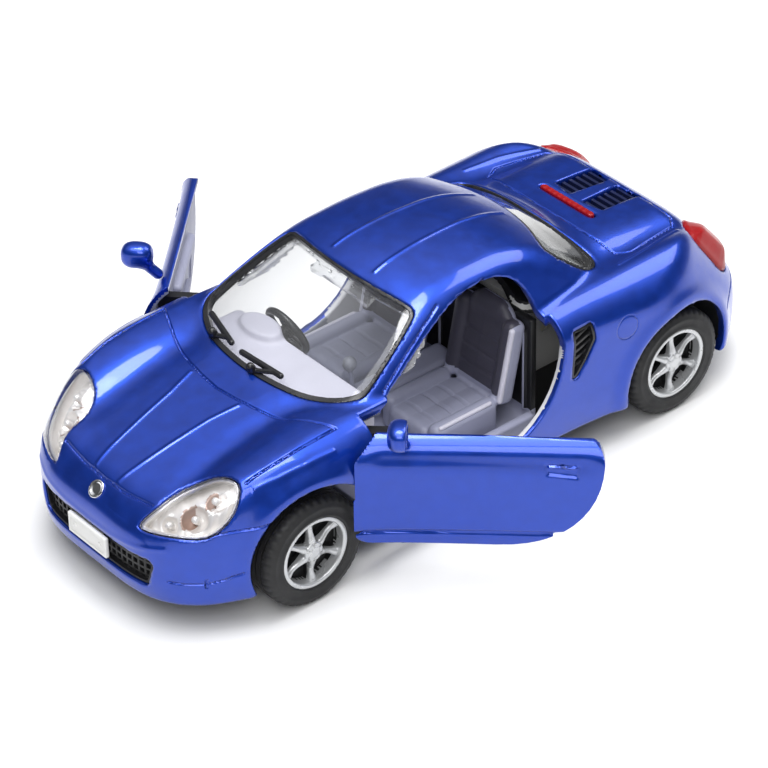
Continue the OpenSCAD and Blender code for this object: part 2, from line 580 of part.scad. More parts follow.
module motor_case(side) color([0.88, 0.88, 0.86])
    difference() {
        translate([MOTOR[0], side > 0 ? 0.02 : -motor_half, chassis_z])
            cube([MOTOR[1] - MOTOR[0], motor_half - 0.02, motor_top - chassis_z]);
        translate([MOTOR[0] + 1, -motor_half + 1, chassis_z + 1])
            cube([MOTOR[1] - MOTOR[0] - 2, 2 * motor_half - 2, motor_top - chassis_z - 2]);
        across(AXLE_AT, -20) cylinder(r = bore_r, h = 40);
        for (p = [IDLER_AT, ARBOR_AT])
            across(p, -20) cylinder(r = gear_pin_r + run_gap, h = 40);
    }
module motor_case_left() motor_case(1);
module motor_case_right() motor_case(-1);

body_shell();
chassis_plate();
chassis_screws();
window_glazing();
interior_tub();
dashboard();
steering_wheel();
left_headlight_lens();
right_headlight_lens();
left_headlight_bowl();
right_headlight_bowl();
left_taillight();
right_taillight();
brake_light();
front_grille();
front_plate();
rear_plate();
nose_roundel();
wipers();
left_intake_grille();
right_intake_grille();
engine_vent_panel();
exhaust_tips();
left_door();
right_door();
left_door_card();
right_door_card();
left_mirror();
right_mirror();
left_hinge_arm();
right_hinge_arm();
left_hinge_bracket();
right_hinge_bracket();
front_axle();
rear_axle();
left_front_rim();
right_front_rim();
left_rear_rim();
right_rear_rim();
left_front_tyre();
right_front_tyre();
left_rear_tyre();
right_rear_tyre();
motor_case_left();
motor_case_right();
mainspring();
spring_gear();
idler_gear();
drive_pinion();
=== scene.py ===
"""Visual model of a small die-cast pull back car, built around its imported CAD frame.

Forms are fields in millimetres, negative inside, in the CAD's own frame: +X forward, +Y left, +Z up.
A field is meshed with sharp edges kept, and its gradient gives the shading normals.
"""
import json
import math

import bpy
import bmesh
import numpy as np
from mathutils import Matrix, Vector


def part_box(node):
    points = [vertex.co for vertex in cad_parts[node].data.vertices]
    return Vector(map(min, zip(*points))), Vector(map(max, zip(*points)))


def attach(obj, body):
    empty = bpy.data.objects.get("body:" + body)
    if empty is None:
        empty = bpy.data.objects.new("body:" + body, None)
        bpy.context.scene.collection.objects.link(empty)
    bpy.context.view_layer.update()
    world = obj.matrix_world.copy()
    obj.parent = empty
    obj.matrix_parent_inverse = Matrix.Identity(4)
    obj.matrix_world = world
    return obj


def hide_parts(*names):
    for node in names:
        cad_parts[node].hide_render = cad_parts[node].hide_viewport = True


MM = 0.001
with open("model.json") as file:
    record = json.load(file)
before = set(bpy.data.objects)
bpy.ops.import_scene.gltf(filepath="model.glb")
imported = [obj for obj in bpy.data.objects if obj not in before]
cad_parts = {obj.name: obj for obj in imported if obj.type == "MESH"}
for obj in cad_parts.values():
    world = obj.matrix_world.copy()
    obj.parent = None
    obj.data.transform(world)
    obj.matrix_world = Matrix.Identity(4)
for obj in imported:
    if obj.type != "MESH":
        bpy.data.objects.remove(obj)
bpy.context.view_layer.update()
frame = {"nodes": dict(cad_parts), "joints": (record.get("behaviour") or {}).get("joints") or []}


def mm_box(node):
    """Lowest and highest corners of a CAD node, in millimetres."""
    low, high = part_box(node)
    return np.array(low) / MM, np.array(high) / MM


# ---------------------------------------------------------------- measures taken from the frame
joint = {j["name"]: j for j in frame["joints"]}
AXLES = [joint["front_axle_spin"]["pos_m"][0] / MM, joint["rear_axle_spin"]["pos_m"][0] / MM]
WHEEL_Z = joint["front_axle_spin"]["pos_m"][2] / MM
HINGE = [joint["left_door_hinge"]["pos_m"][0] / MM, joint["left_door_hinge"]["pos_m"][1] / MM]
TYRE_R = mm_box("left_front_tyre")[1][2] - WHEEL_Z
RIM_R = mm_box("left_front_rim")[1][2] - WHEEL_Z
TRACK_HALF = mm_box("left_front_rim")[1][1]
SHELL_LOW, SHELL_HIGH = mm_box("body_shell")
# The form below is drawn for a shell of this size, and stretched if the frame's is another.
DRAWN_SIZE = np.array([122.6, 53.8, 35.0])
STRETCH = (SHELL_HIGH - SHELL_LOW) / DRAWN_SIZE
STRETCH = np.where(abs(STRETCH - 1) < 0.01, 1, STRETCH)

# ---------------------------------------------------------------- the car's form
NOSE_X, TAIL_X = 62.4, 60.7
TOP = [(-61, 25.6), (-57.5, 27.6), (-52, 28.7), (-44, 29.5), (-36, 30), (-26, 30.4), (0, 29.4),
       (20, 28.7), (29, 27.9), (37, 26.8), (45, 25.1), (52, 23.2), (57, 21.5), (61, 19.2)]
CREST = [(-61, 24), (-56, 27.2), (-50, 29), (-42, 29.8), (-32, 29.7), (-20, 29.2), (-8, 28.6),
         (6, 28.1), (18, 27.9), (28, 28.1), (36, 27.7), (43, 26.7), (49, 25.2), (54, 23.2),
         (58, 21), (61, 18.5)]
HALF = [(-60, 24.6), (-53, 25.6), (-46, 26.5), (-38, 26.9), (-28, 26.4), (-18, 25.5),
        (-8, 25.2), (6, 25.1), (18, 25.3), (27, 25.9), (36, 26.4), (44, 26), (52, 24.8), (60, 23)]
ROOF = [(-38, 27), (-34, 29), (-30, 31.1), (-25, 33.9), (-20, 36.6), (-15, 38.6), (-10, 39.7),
        (-5, 40), (0, 39.95), (5, 39.5), (10, 38.8), (16, 37.3), (24, 34.5)]
CABIN_HALF = [(-38, 14.5), (-32, 16.8), (-26, 18.6), (-18, 20), (-8, 20.9), (4, 21.2),
              (14, 20.9), (20, 20.4), (26, 19.4), (32, 18)]
SILL_Z = 6.1
SHOULDER_Z = 23.3
BELT_Z = 28.0


def cubic(table, t):
    """Smooth curve through (t, value) points, with central differences as slopes."""
    key, val = np.array(table, float).T
    slope = np.gradient(val, key)
    slope[1:-1] = (val[2:] - val[:-2]) / (key[2:] - key[:-2])
    t = np.clip(t, key[0], key[-1])
    i = np.clip(np.searchsorted(key, t, side="right") - 1, 0, len(key) - 2)
    h = key[i + 1] - key[i]
    u = (t - key[i]) / h
    return ((2 * u**3 - 3 * u**2 + 1) * val[i] + (u**3 - 2 * u**2 + u) * h * slope[i]
            + (3 * u**2 - 2 * u**3) * val[i + 1] + (u**3 - u**2) * h * slope[i + 1])


def meet(first, *rest):
    """Intersection of fields: the largest value at each point."""
    for f in rest:
        first = np.maximum(first, f)
    return first


def join(first, *rest):
    """Union of fields: the smallest value at each point."""
    for f in rest:
        first = np.minimum(first, f)
    return first


def both(a, b, k):
    """Intersection of two fields, with an edge rounded over about k."""
    h = np.maximum(k - np.abs(a - b), 0) / k
    return np.maximum(a, b) + h * h * k * 0.25


def either(a, b, k):
    """Union of two fields, with a corner filled over about k."""
    return -both(-a, -b, k)


def ease(a, b, x):
    """Smooth step of x, from 0 at a to 1 at b."""
    t = np.clip((x - a) / (b - a), 0, 1)
    return t * t * (3 - 2 * t)


def body_form(x, y, z, floor_z=SILL_Z):
    """Lower body: top surface, sides, nose and tail blended together."""
    a = np.abs(y)
    ahead = ease(20, 34, x)
    astern = ease(-22, -36, x)
    rise = ease(7, 20, a)
    valley_y = 12.5 * ahead + 15.8 * (1 - ahead)
    valley = (0.9 * ahead * ease(60, 50, x) + 1.25 * astern * ease(-60, -50, x))
    valley = valley * np.exp(-((a - valley_y) / 3.0) ** 2)
    crease = ahead * 0.055 * np.maximum(a - 2.6 - (58 - x) * 0.18, 0) * ease(12, 6, a)
    top = cubic(TOP, x) * (1 - rise) + cubic(CREST, x) * rise - valley - crease
    top = top - 0.05 * np.maximum(a - 20, 0) ** 2
    side = cubic(HALF, x) - 0.075 * np.maximum(z - SHOULDER_Z, 0) ** 2
    side = side - 0.012 * np.maximum(13 - z, 0) ** 2
    f = both((z - top) * 0.97, a - side, 3.2 + 1.6 * ahead + 1.4 * astern)
    nose = NOSE_X - 16.7 * (a / 25.5) ** 4.2 - 0.03 * np.maximum(z - 14, 0) ** 2
    nose = nose - 0.02 * np.maximum(11 - z, 0) ** 2
    f = both(f, (x - nose) / np.sqrt(1 + (2.75 * (a / 25.5) ** 3.2) ** 2), 4.0)
    tail = TAIL_X + 0.2 - 13 * (a / 25.5) ** 5 - 0.45 * (z - 16 + np.sqrt((z - 16) ** 2 + 4))
    tail = tail - 0.02 * np.maximum(12 - z, 0) ** 2
    f = both(f, (-x - tail) / np.sqrt(1.3 + (2.55 * (a / 25.5) ** 4) ** 2), 2.0)
    for well_x, well_z, well_r in WELLS:
        r = np.hypot(x - well_x, z - well_z) - well_r
        f = f - 0.5 * np.exp(-((r - 0.9) / 1.5) ** 2) * ease(20, 24, a)
    return both(f, floor_z - 1.1 * ease(44, 52, x) - z, 1.2)


def cabin_form(x, y, z):
    """Cabin: roof, leaning sides and windscreen."""
    a = np.abs(y)
    crown = (1.75 + 0.9 * ease(-12, -28, x)) * (a / 16) ** 2
    roof = (z - cubic(ROOF, x) + crown) * (1 - 0.13 * ease(-12, -20, x))
    side = (a - cubic(CABIN_HALF, x) + 0.5 * (z - BELT_Z)) * 0.894
    screen = (x - 30.5 + 2 * (z - BELT_Z) + 5.5 * (y / 19) ** 2) / 2.3
    f = both(both(both(roof, side, 2.6), screen, 1.4), -40 - x, 1.0)
    return both(f, 24 - z, 1.0)


def form(x, y, z, floor_z=SILL_Z):
    """The whole closed outer form, before anything is cut into it."""
    x, y = x / STRETCH[0], y / STRETCH[1]
    return either(body_form(x, y, z, floor_z), cabin_form(x, y, z), 1.0)


# ---------------------------------------------------------------- meshing a field
def sample(field, low, high, step):
    """Field values on a grid. Blocks the surface can't reach are filled with one value."""
    n = 4
    counts = [max(1, math.ceil((high[i] - low[i]) / (step * n))) for i in range(3)]
    reach = 6.5 * step
    middle = [low[i] + (np.arange(counts[i]) * n + (n - 1) / 2) * step for i in range(3)]
    coarse = field(*np.meshgrid(*middle, indexing="ij"))
    values = np.empty(counts + [n, n, n], np.float32)
    values[:] = (np.sign(coarse) * reach)[..., None, None, None]
    active = np.argwhere(np.abs(coarse) < reach)
    local = np.stack(np.meshgrid(*[np.arange(n)] * 3, indexing="ij"), -1)
    for part in np.array_split(active, max(1, len(active) // 8000)):
        p = low + (part[:, None, None, None, :] * n + local) * step
        values[tuple(part.T)] = field(p[..., 0], p[..., 1], p[..., 2])
    return values.transpose(0, 3, 1, 4, 2, 5).reshape([c * n for c in counts])


def gradient(field, p, e=0.03):
    """Unit normals of a field, from its values at the corners of a small tetrahedron."""
    total = np.zeros_like(p)
    for k in ((1, -1, -1), (-1, -1, 1), (-1, 1, -1), (1, 1, 1)):
        k = np.array(k, float)
        q = p + k * e
        total += field(q[:, 0], q[:, 1], q[:, 2])[:, None] * k
    return total / np.maximum(np.linalg.norm(total, axis=1, keepdims=True), 1e-9)


def crossings(field, values, low, step, axis):
    """Grid edges along one axis that the surface crosses: index, point and direction."""
    u, w = (axis + 1) % 3, (axis + 2) % 3
    inside = values < 0
    a = np.take(inside, range(inside.shape[axis] - 1), axis)
    b = np.take(inside, range(1, inside.shape[axis]), axis)
    index = np.argwhere(a != b)
    shape = values.shape
    keep = (index[:, u] > 0) & (index[:, u] < shape[u] - 1)
    keep &= (index[:, w] > 0) & (index[:, w] < shape[w] - 1)
    index = index[keep]
    unit = np.eye(3, dtype=int)[axis]
    f0 = values[tuple(index.T)].astype(float)
    f1 = values[tuple((index + unit).T)].astype(float)
    t0, t1 = np.zeros(len(index)), np.ones(len(index))
    outward = f0 < 0
    for _ in range(3):
        t = np.clip(t0 + (t1 - t0) * f0 / (f0 - f1), t0 + 0.02 * (t1 - t0), t1 - 0.02 * (t1 - t0))
        p = low + (index + t[:, None] * unit) * step
        f = field(p[:, 0], p[:, 1], p[:, 2])
        same = (f < 0) == (f0 < 0)
        t0, f0 = np.where(same, t, t0), np.where(same, f, f0)
        t1, f1 = np.where(same, t1, t), np.where(same, f1, f)
    return index, p, outward


def contour(field, low, high, step):
    """Quad mesh of a field's surface, with a vertex on every sharp edge it passes."""
    low, high = np.array(low, float), np.array(high, float)
    values = sample(field, low, high, step)
    cells, points, normals, quads = [], [], [], []
    shape = np.array(values.shape)
    scale = np.array([shape[1] * shape[2], shape[2], 1])
    for axis in range(3):
        index, p, outward = crossings(field, values, low, step, axis)
        n = gradient(field, p)
        u, w = np.eye(3, dtype=int)[(axis + 1) % 3], np.eye(3, dtype=int)[(axis + 2) % 3]
        around = [(index - u - w) @ scale, (index - w) @ scale, index @ scale, (index - u) @ scale]
        quad = np.stack(around, 1)
        quad[~outward] = quad[~outward][:, ::-1]
        quads.append(quad)
        for c in around:
            cells.append(c)
            points.append(p)
            normals.append(n)
    cell, points, normals = np.concatenate(cells), np.concatenate(points), np.concatenate(normals)
    used, slot = np.unique(cell, return_inverse=True)
    count = np.bincount(slot).astype(float)

    def total(v):
        return np.bincount(slot, v, len(used))

    mean = np.stack([total(points[:, i]) for i in range(3)], 1) / count[:, None]
    offset = np.einsum("ij,ij->i", normals, points - mean[slot])
    rhs = np.stack([total(normals[:, i] * offset) for i in range(3)], 1)
    mat = np.empty((len(used), 3, 3))
    for i in range(3):
        for j in range(3):
            mat[:, i, j] = total(normals[:, i] * normals[:, j])
    mat += np.eye(3) * 0.06
    vertex = mean + np.linalg.solve(mat, rhs[..., None])[..., 0]
    corner = np.stack([used // scale[0], used // scale[1] % shape[1], used % shape[2]], 1)
    floor = low + corner * step
    vertex = np.clip(vertex, floor, floor + step)
    faces = np.searchsorted(used, np.concatenate(quads))
    return {"v": vertex, "f": faces}


def corner_normals(field, shape, keep_angle=30):
    """Adds shading normals: smooth over the surface, split where it has an edge."""
    v, f = shape["v"], shape["f"]
    centre = v[f].mean(1)
    near = v[f] + 0.3 * (centre[:, None] - v[f])
    n = gradient(field, near.reshape(-1, 3))
    flat = f.ravel()
    mean = np.stack([np.bincount(flat, n[:, i], len(v)) for i in range(3)], 1)
    mean /= np.maximum(np.linalg.norm(mean, axis=1, keepdims=True), 1e-9)
    close = np.einsum("ij,ij->i", n, mean[flat])
    worst = np.full(len(v), 1.0)
    np.minimum.at(worst, flat, close)
    smooth = worst[flat] > math.cos(math.radians(keep_angle))
    shape["n"] = np.where(smooth[:, None], mean[flat], n)
    return shape


def moved(shape, matrix):
    """The shape after a 4 by 4 transform; a mirrored one has its faces turned over."""
    m = np.array(matrix)
    out = dict(shape)
    out["v"] = shape["v"] @ m[:3, :3].T + m[:3, 3]
    n = shape["n"] @ m[:3, :3].T
    if np.linalg.det(m[:3, :3]) < 0:
        k = shape["f"].shape[1]
        out["f"] = shape["f"][:, ::-1]
        n = n.reshape(-1, k, 3)[:, ::-1].reshape(-1, 3)
    out["n"] = n
    return out


def make_object(name, shape, materials, slots=None):
    """Blender object of a shape; slots holds each face's material number."""
    mesh = bpy.data.meshes.new(name)
    v, f = shape["v"] * MM, shape["f"]
    mesh.vertices.add(len(v))
    mesh.vertices.foreach_set("co", v.ravel())
    mesh.loops.add(f.size)
    mesh.loops.foreach_set("vertex_index", f.ravel())
    mesh.polygons.add(len(f))
    mesh.polygons.foreach_set("loop_start", np.arange(0, f.size, f.shape[1]))
    mesh.polygons.foreach_set("use_smooth", np.ones(len(f), bool))
    if slots is not None:
        mesh.polygons.foreach_set("material_index", slots)
    mesh.update(calc_edges=True)
    mesh.normals_split_custom_set(shape["n"])
    for m in materials:
        mesh.materials.append(m)
    obj = bpy.data.objects.new(name, mesh)
    bpy.context.scene.collection.objects.link(obj)
    return obj


# ---------------------------------------------------------------- outlines and cuts
def outline(points, u, v):
    """Signed distance to a closed outline, negative inside."""
    pts = np.array(points, float)
    best = np.full(np.shape(u), 1e9)
    crossed = np.zeros(np.shape(u), bool)
    for (ax, ay), (bx, by) in zip(pts, np.roll(pts, -1, axis=0)):
        dx, dy = bx - ax, by - ay
        t = np.clip(((u - ax) * dx + (v - ay) * dy) / max(dx * dx + dy * dy, 1e-12), 0, 1)
        best = np.minimum(best, (u - ax - t * dx) ** 2 + (v - ay - t * dy) ** 2)
        if ay != by:
            crossed ^= ((ay > v) != (by > v)) & (u < ax + (v - ay) * dx / dy)
    return np.where(crossed, -1, 1) * np.sqrt(best)


def path_distance(points, u, v):
    """Distance to an open line through the points."""
    best = np.full(np.shape(u), 1e9)
    for (ax, ay), (bx, by) in zip(points[:-1], points[1:]):
        dx, dy = bx - ax, by - ay
        t = np.clip(((u - ax) * dx + (v - ay) * dy) / (dx * dx + dy * dy), 0, 1)
        best = np.minimum(best, np.hypot(u - ax - t * dx, v - ay - t * dy))
    return best


def bezier(p, count):
    """Points along a cubic Bezier curve."""
    t = np.linspace(0, 1, count)[:, None]
    p = np.array(p, float)
    return ((1 - t) ** 3 * p[0] + 3 * (1 - t) ** 2 * t * p[1] + 3 * (1 - t) * t**2 * p[2]
            + t**3 * p[3]).tolist()


def where_in(low, high, x, y, z):
    """Mask of the points inside a box."""
    return ((x > low[0]) & (x < high[0]) & (y > low[1]) & (y < high[1])
            & (z > low[2]) & (z < high[2]))


def carve(f, low, high, x, y, z, cutter, k=0.0):
    """Takes a cutter's field out of f inside a box; the box is mirrored to both sides."""
    a = np.abs(y)
    m = where_in(low, high, x, a, z)
    if m.any():
        cut = -cutter(x[m], a[m], z[m])
        f[m] = both(f[m], cut, k) if k else meet(f[m], cut)
    return f


WALL = 1.6
DOOR_TOP, DOOR_FRONT, DOOR_LOW, DOOR_INNER = 29.6, 25.0, 8.8, 21.9
DOOR_GAP, DOOR_WALL = 0.4, 1.2
DOOR_CURVE = bezier([(-13, DOOR_TOP), (-15, 17.5), (-8.5, DOOR_LOW), (3, DOOR_LOW)], 15)
OPENING = DOOR_CURVE + [(DOOR_FRONT - 1.2, DOOR_LOW), (DOOR_FRONT, DOOR_LOW + 1.2),
                        (DOOR_FRONT, DOOR_TOP)]
DOOR_CORNER = bezier([(22.4, DOOR_LOW), (23.9, DOOR_LOW), (DOOR_FRONT, 9.9), (DOOR_FRONT, 11.4)], 7)
DOOR_OUTLINE = DOOR_CURVE + DOOR_CORNER + [(DOOR_FRONT, DOOR_TOP)]
SWING_R = math.hypot(DOOR_FRONT + 0.6 - HINGE[0], cubic(HALF, DOOR_FRONT) - HINGE[1]) + 0.2
WINDOW = (bezier([(-13.1, 24), (-12.2, 30), (-12.6, 36.8), (-3.5, 36.8)], 9)
          + bezier([(-3.5, 36.8), (3.6, 36.9), (7.4, 34.6), (20.2, 27.4)], 10)[1:]
          + [(21.4, 26.8), (21.4, 24)])
WELLS = [(AXLES[0], WHEEL_Z + 1.2, 11.4), (AXLES[1], WHEEL_Z, 11.7)]
PANE_R = 0.9
HEADLIGHT_DIR = np.array([0.6, 0.4, 0.7]) / math.sqrt(1.01)
TAILLIGHT_DIR = np.array([-0.75, 0.25, 0.6]) / math.sqrt(0.985)
INTAKE = [(-16.4, 25.2), (-19.2, 25.4), (-19.4, 23.2), (-17.8, 20.2), (-16.0, 17.8), (-16.3, 21.6)]
GRILLE = [(-13.0, 12.2), (-12.2, 9.2), (12.2, 9.2), (13.0, 12.2)]


def smooth_loop(points, count=4):
    """Closed smooth curve through the points, with count steps between each two."""
    p = np.array(points, float)
    out = []
    for i in range(len(p)):
        a, b, c, d = p[i - 1], p[i], p[(i + 1) % len(p)], p[(i + 2) % len(p)]
        out += bezier([b, b + (c - a) / 6, c - (d - b) / 6, c], count + 1)[:-1]
    return np.array(out)


def mirrored_loop(half):
    """Closed smooth loop from the points of its right half, which start and end on the middle."""
    return smooth_loop(list(half) + [(-a, w) for a, w in half[-2:0:-1]])


# Edges of the two screens, as distance from the middle and distance up the glass.
SCREEN = mirrored_loop([(0, -14.6), (6, -14.2), (11.3, -13.1), (15.6, -10.9), (17.9, -8.4),
                        (18.1, -6.2), (17.0, -0.6), (16.0, 3.6), (15.1, 6.4), (14.5, 7.2),
                        (12.8, 7.2), (7, 6.6), (0, 6.3)])
BACKLIGHT = mirrored_loop([(0, -9.5), (7.5, -10.5), (12.6, -11.3), (15.0, -11.6), (16.2, -10.6),
                           (16.1, -8.0), (15.2, -4.2), (14.2, -2.2), (13.0, -1.9), (7, -3.8),
                           (0, -4.5)])


def screen_outline(x, a, z):
    """Distance outside the windscreen's opening."""
    return outline(SCREEN, a, (z - 2 * x) / math.sqrt(5)) - PANE_R


def backlight_outline(x, a, z):
    """Distance outside the rear window's opening."""
    return outline(BACKLIGHT, a, 0.89 * x + 0.45 * z) - PANE_R


HEADLIGHT = smooth_loop([(60.0, 10.4, 17.2), (57.2, 11.8, 20.6), (53.0, 12.8, 22.6), (49.2, 16.0, 24.7),
                         (48.2, 20.2, 25.0), (50.6, 21.8, 21.4), (54.6, 20.2, 17.9), (58.4, 15.2, 17.2)])
TAILLIGHT = smooth_loop([(-48.2, 18.8, 28.0), (-51.0, 20.6, 24.0), (-54.8, 20.8, 19.4),
                         (-57.9, 15.6, 19.2), (-56.4, 12.4, 23.4), (-52.6, 13.2, 27.4)])


def facing(points, d):
    """Axes across a direction, and the points' places on them."""
    d = np.array(d, float)
    u = np.cross([0, 0, 1.0], d)
    u /= np.linalg.norm(u)
    w = np.cross(d, u)
    return u, w, [(p @ u, p @ w) for p in np.array(points, float)]


def lamp_outline(points, d, x, y, z):
    """Distance outside a lamp's outline, seen along its direction."""
    u, w, flat = facing(points, d)
    px = x * u[0] + y * u[1] + z * u[2]
    pw = x * w[0] + y * w[1] + z * w[2]
    return outline(flat, px, pw)


def head_outline(x, y, z):
    return lamp_outline(HEADLIGHT, HEADLIGHT_DIR, x, y, z)


def tail_outline(x, y, z):
    return lamp_outline(TAILLIGHT, TAILLIGHT_DIR, x, y, z)


def side_opening(x, a, z):
    """Door opening and side window in one, seen from the side."""
    deep = DOOR_INNER - DOOR_GAP - a
    door = meet(outline(OPENING, x, z) - DOOR_GAP, deep)
    front = meet(outline(OPENING, x - 0.25, z) - DOOR_GAP, deep)
    window = meet(outline(WINDOW, x, z), 13 - a)
    return join(door, front, window)


GROOVE_W, GROOVE_D = 0.17, 0.34
HOOD_FRONT = [(58.9, 0), (58.7, 5), (58.0, 11.0)]
HOOD_SIDE = [(47.4, 20.9), (42, 21.4), (36, 21.6), (30.6, 21.6)]
COWL = [(36.8, 0), (36.4, 4.5), (35.8, 8), (34.9, 11), (33.6, 15), (31.8, 19), (30.6, 21.6)]
LID = [(-32.2, 0), (-32.4, 10), (-33.4, 15.6), (-36, 16.8), (-46.4, 15.4), (-47.8, 13.6), (-48.1, 0)]
WING_CUT = [(54.2, 18.9), (50, 18.9), (46.2, 19.1)]
BUMPER_FRONT = [(59.6, 10.1), (57.9, 9.9), (55.4, 9.9), (53.0, 10.3), (50.6, 11.2)]
BUMPER_REAR = [(-57.6, 16.6), (-54, 15.8), (-51.2, 14.4)]
BUMPER_TICK = [(55.5, 9.2), (55.5, 10.6)]
PILLAR_CUT = [(5.6, 36.5), (9.1, 34.9), (14.5, 31.8), (19.6, 28.6)]


def grooves(x, y, z):
    """How deep the panel gaps sink the painted surface at each point."""
    a = np.abs(y)
    d = np.full(x.shape, 9.0)

    def near(mask, path, u, v):
        return np.where(mask, join(d, path_distance(path, u, v)), d)

    bonnet = (z > 17) & (x > 25)
    for path in (HOOD_FRONT, HOOD_SIDE, COWL):
        d = near(bonnet, path, x, a)
    front_corner = (a > 13) & (x > 44)
    for path in (WING_CUT, BUMPER_FRONT, BUMPER_TICK):
        d = near(front_corner, path, x, z)
    d = near((z > 18) & (x < -28), LID, x, a)
    d = near((a > 14) & (x < -48), BUMPER_REAR, x, z)
    d = near((a > 13) & (z > 28.2) & (x > 2), PILLAR_CUT, x, z)
    cap = np.abs(np.hypot(x + 26.4, z - 22.8) - 2.1) + 0.13
    d = np.where((y > 18) & (x < -20) & (x > -32), join(d, cap), d)
    return GROOVE_D * np.exp(-(d / GROOVE_W) ** 2)


RIDGE_W, RIDGE_H = 0.34, 0.13
HOOD_RIDGE = [(58.2, 2.9), (55, 3.4), (48, 4.2), (42, 4.9), (37.2, 6.0)]
ROOF_RIDGE = [(8.6, 5.0), (-2, 4.6), (-12, 4.2), (-19.5, 3.6)]
DECK_RIDGE = [(-31.0, 19.0), (-38, 18.4), (-46, 16.8)]
WING_RIDGE = [(46.8, 22.3), (43, 23.3), (38.6, 24.0), (33, 24.3)]
FASCIA_RIDGE = [(0, 14.2), (6, 14.4), (11.5, 15.0), (16, 16.0)]


def ridges(x, y, z):
    """How far the pressed creases stand up from the painted surface."""
    a = np.abs(y)
    d = np.full(x.shape, 9.0)
    for mask, path in (((x > 30) & (z > 17), HOOD_RIDGE), ((z > 34) & (x < 12), ROOF_RIDGE),
                       ((x < -28) & (z > 24), DECK_RIDGE), ((x > 30) & (z > 22.5), WING_RIDGE)):
        d = np.where(mask, join(d, path_distance(path, x, a)), d)
    fascia = 0.7 * path_distance(FASCIA_RIDGE, a, z)
    d = np.where(x > 54, join(d, fascia), d)
    return RIDGE_H * np.exp(-(d / RIDGE_W) ** 2)


def shell_field(x, y, z):
    """Body shell: the form, hollowed, with every opening cut."""
    f = meet(form(x, y, z), -form(x, y, z, 2.0) - WALL)
    a = np.abs(y)
    for well_x, well_z, well_r in WELLS:
        f = both(f, -meet(np.hypot(x - well_x, z - well_z) - well_r, 17.6 - a), 0.4)
    cuts = [
        ((-16, 12, 4), (26, 30, 38.5), side_opening),
        ((5, -1, 26), (34, 21, 39), screen_outline),
        ((-42, -1, 28), (-12, 20, 39), backlight_outline),
        ((44, 8, 14), (64, 25, 29), head_outline),
        ((-62, 7, 16), (-44, 26, 31), tail_outline),
        ((-24, 20, 14), (-12, 29, 28), lambda x, a, z: outline(INTAKE, x, z) - 0.75),
        ((52, -1, 6), (65, 16, 15), lambda x, a, z: outline(GRILLE, a, z) - 1.2),
        ((-48.6, 1, 26), (-38, 7, 32), lambda x, a, z: vent_outline(x, a) - 0.5),
        ((-39, -1, 26), (-35, 8, 32), lambda x, a, z: path_distance(brake_bar(5.8), x, a) - 0.75),
        ((-63, 1, 5), (-52, 6, 12), lambda x, a, z: np.hypot(a - 3.6, z - 8.4) - 1.5)]
    for low, high, cutter in cuts:
        f = carve(f, low, high, x, y, z, cutter, 0.45)
    # the rear wheel wells are closed in above the wheel and on its inner side
    well_x, well_z, well_r = WELLS[1]
    r = np.hypot(x - well_x, z - well_z) - well_r
    liner = meet(np.abs(r - 0.5) - 0.45, 17 - a)
    inner = meet(np.abs(a - 17.2) - 0.35, r - 0.9, 2.2 - well_r - r)
    liner = meet(join(liner, inner), form(x, y, z) + 1.2, 6.4 - z)
    return join(f, liner)


def brake_bar(half):
    """Middle line of the high brake lamp, reaching half its length to each side."""
    return [(-37, -half), (-37, half)]


def vent_outline(x, a):
    """Distance outside one of the two engine vents."""
    return outline([(-39.4, 2.0), (-47.0, 1.6), (-47.6, 5.2), (-40.0, 5.2)], x, a)


def painted_field(x, y, z):
    """The shell with its panel gaps sunk in and its creases standing up."""
    return shell_field(x, y, z) + grooves(x, y, z) - ridges(x, y, z)


def near_detail(p, reach):
    """Whether each point lies within reach of a panel gap or a crease."""
    x, y, z = p.T
    return ((grooves(x, y, z) > GROOVE_D * math.exp(-(reach / GROOVE_W) ** 2))
            | (ridges(x, y, z) > RIDGE_H * math.exp(-(reach / RIDGE_W) ** 2)))


def refine(shape, near):
    """Splits the faces near a feature into four, triangulating the border of the patch."""
    bm = bmesh.new()
    verts = [bm.verts.new(p) for p in shape["v"]]
    faces = shape["f"]
    for f in faces:
        bm.faces.new([verts[i] for i in f])
    flag = near(shape["v"])
    bm.verts.index_update()
    edges = [e for e in bm.edges if flag[e.verts[0].index] or flag[e.verts[1].index]]
    bmesh.ops.subdivide_edges(bm, edges=edges, cuts=1, use_grid_fill=True)
    bmesh.ops.triangulate(bm, faces=bm.faces[:])
    bm.verts.index_update()
    v = np.array([q.co for q in bm.verts])
    f = np.array([[q.index for q in face.verts] for face in bm.faces])
    bm.free()
    return {"v": v, "f": f}


def settle(v, field, turns=2, limit=0.5):
    """The points, moved onto the field's surface."""
    for _ in range(turns):
        value = field(v[:, 0], v[:, 1], v[:, 2])
        v = v - gradient(field, v) * np.clip(value, -limit, limit)[:, None]
    return v


# ---------------------------------------------------------------- materials
def put(nodes, kind, **values):
    """New shader node with values for its inputs; an underscore stands for a space."""
    made = nodes.new("ShaderNode" + kind)
    for key, value in values.items():
        made.inputs[key.replace("_", " ")].default_value = value
    return made


def noise(nodes, links, scale, detail=3.0):
    """Noise texture in the object's own coordinates, in metres."""
    place = put(nodes, "TexCoord")
    tex = put(nodes, "TexNoise", Scale=scale, Detail=detail)
    links.new(place.outputs["Object"], tex.inputs["Vector"])
    return tex.outputs["Fac"]


def spread(nodes, links, value, low, high):
    """Maps a texture's middle range onto low to high."""
    ramp = put(nodes, "MapRange", From_Min=0.3, From_Max=0.7, To_Min=low, To_Max=high)
    links.new(value, ramp.inputs["Value"])
    return ramp.outputs["Result"]


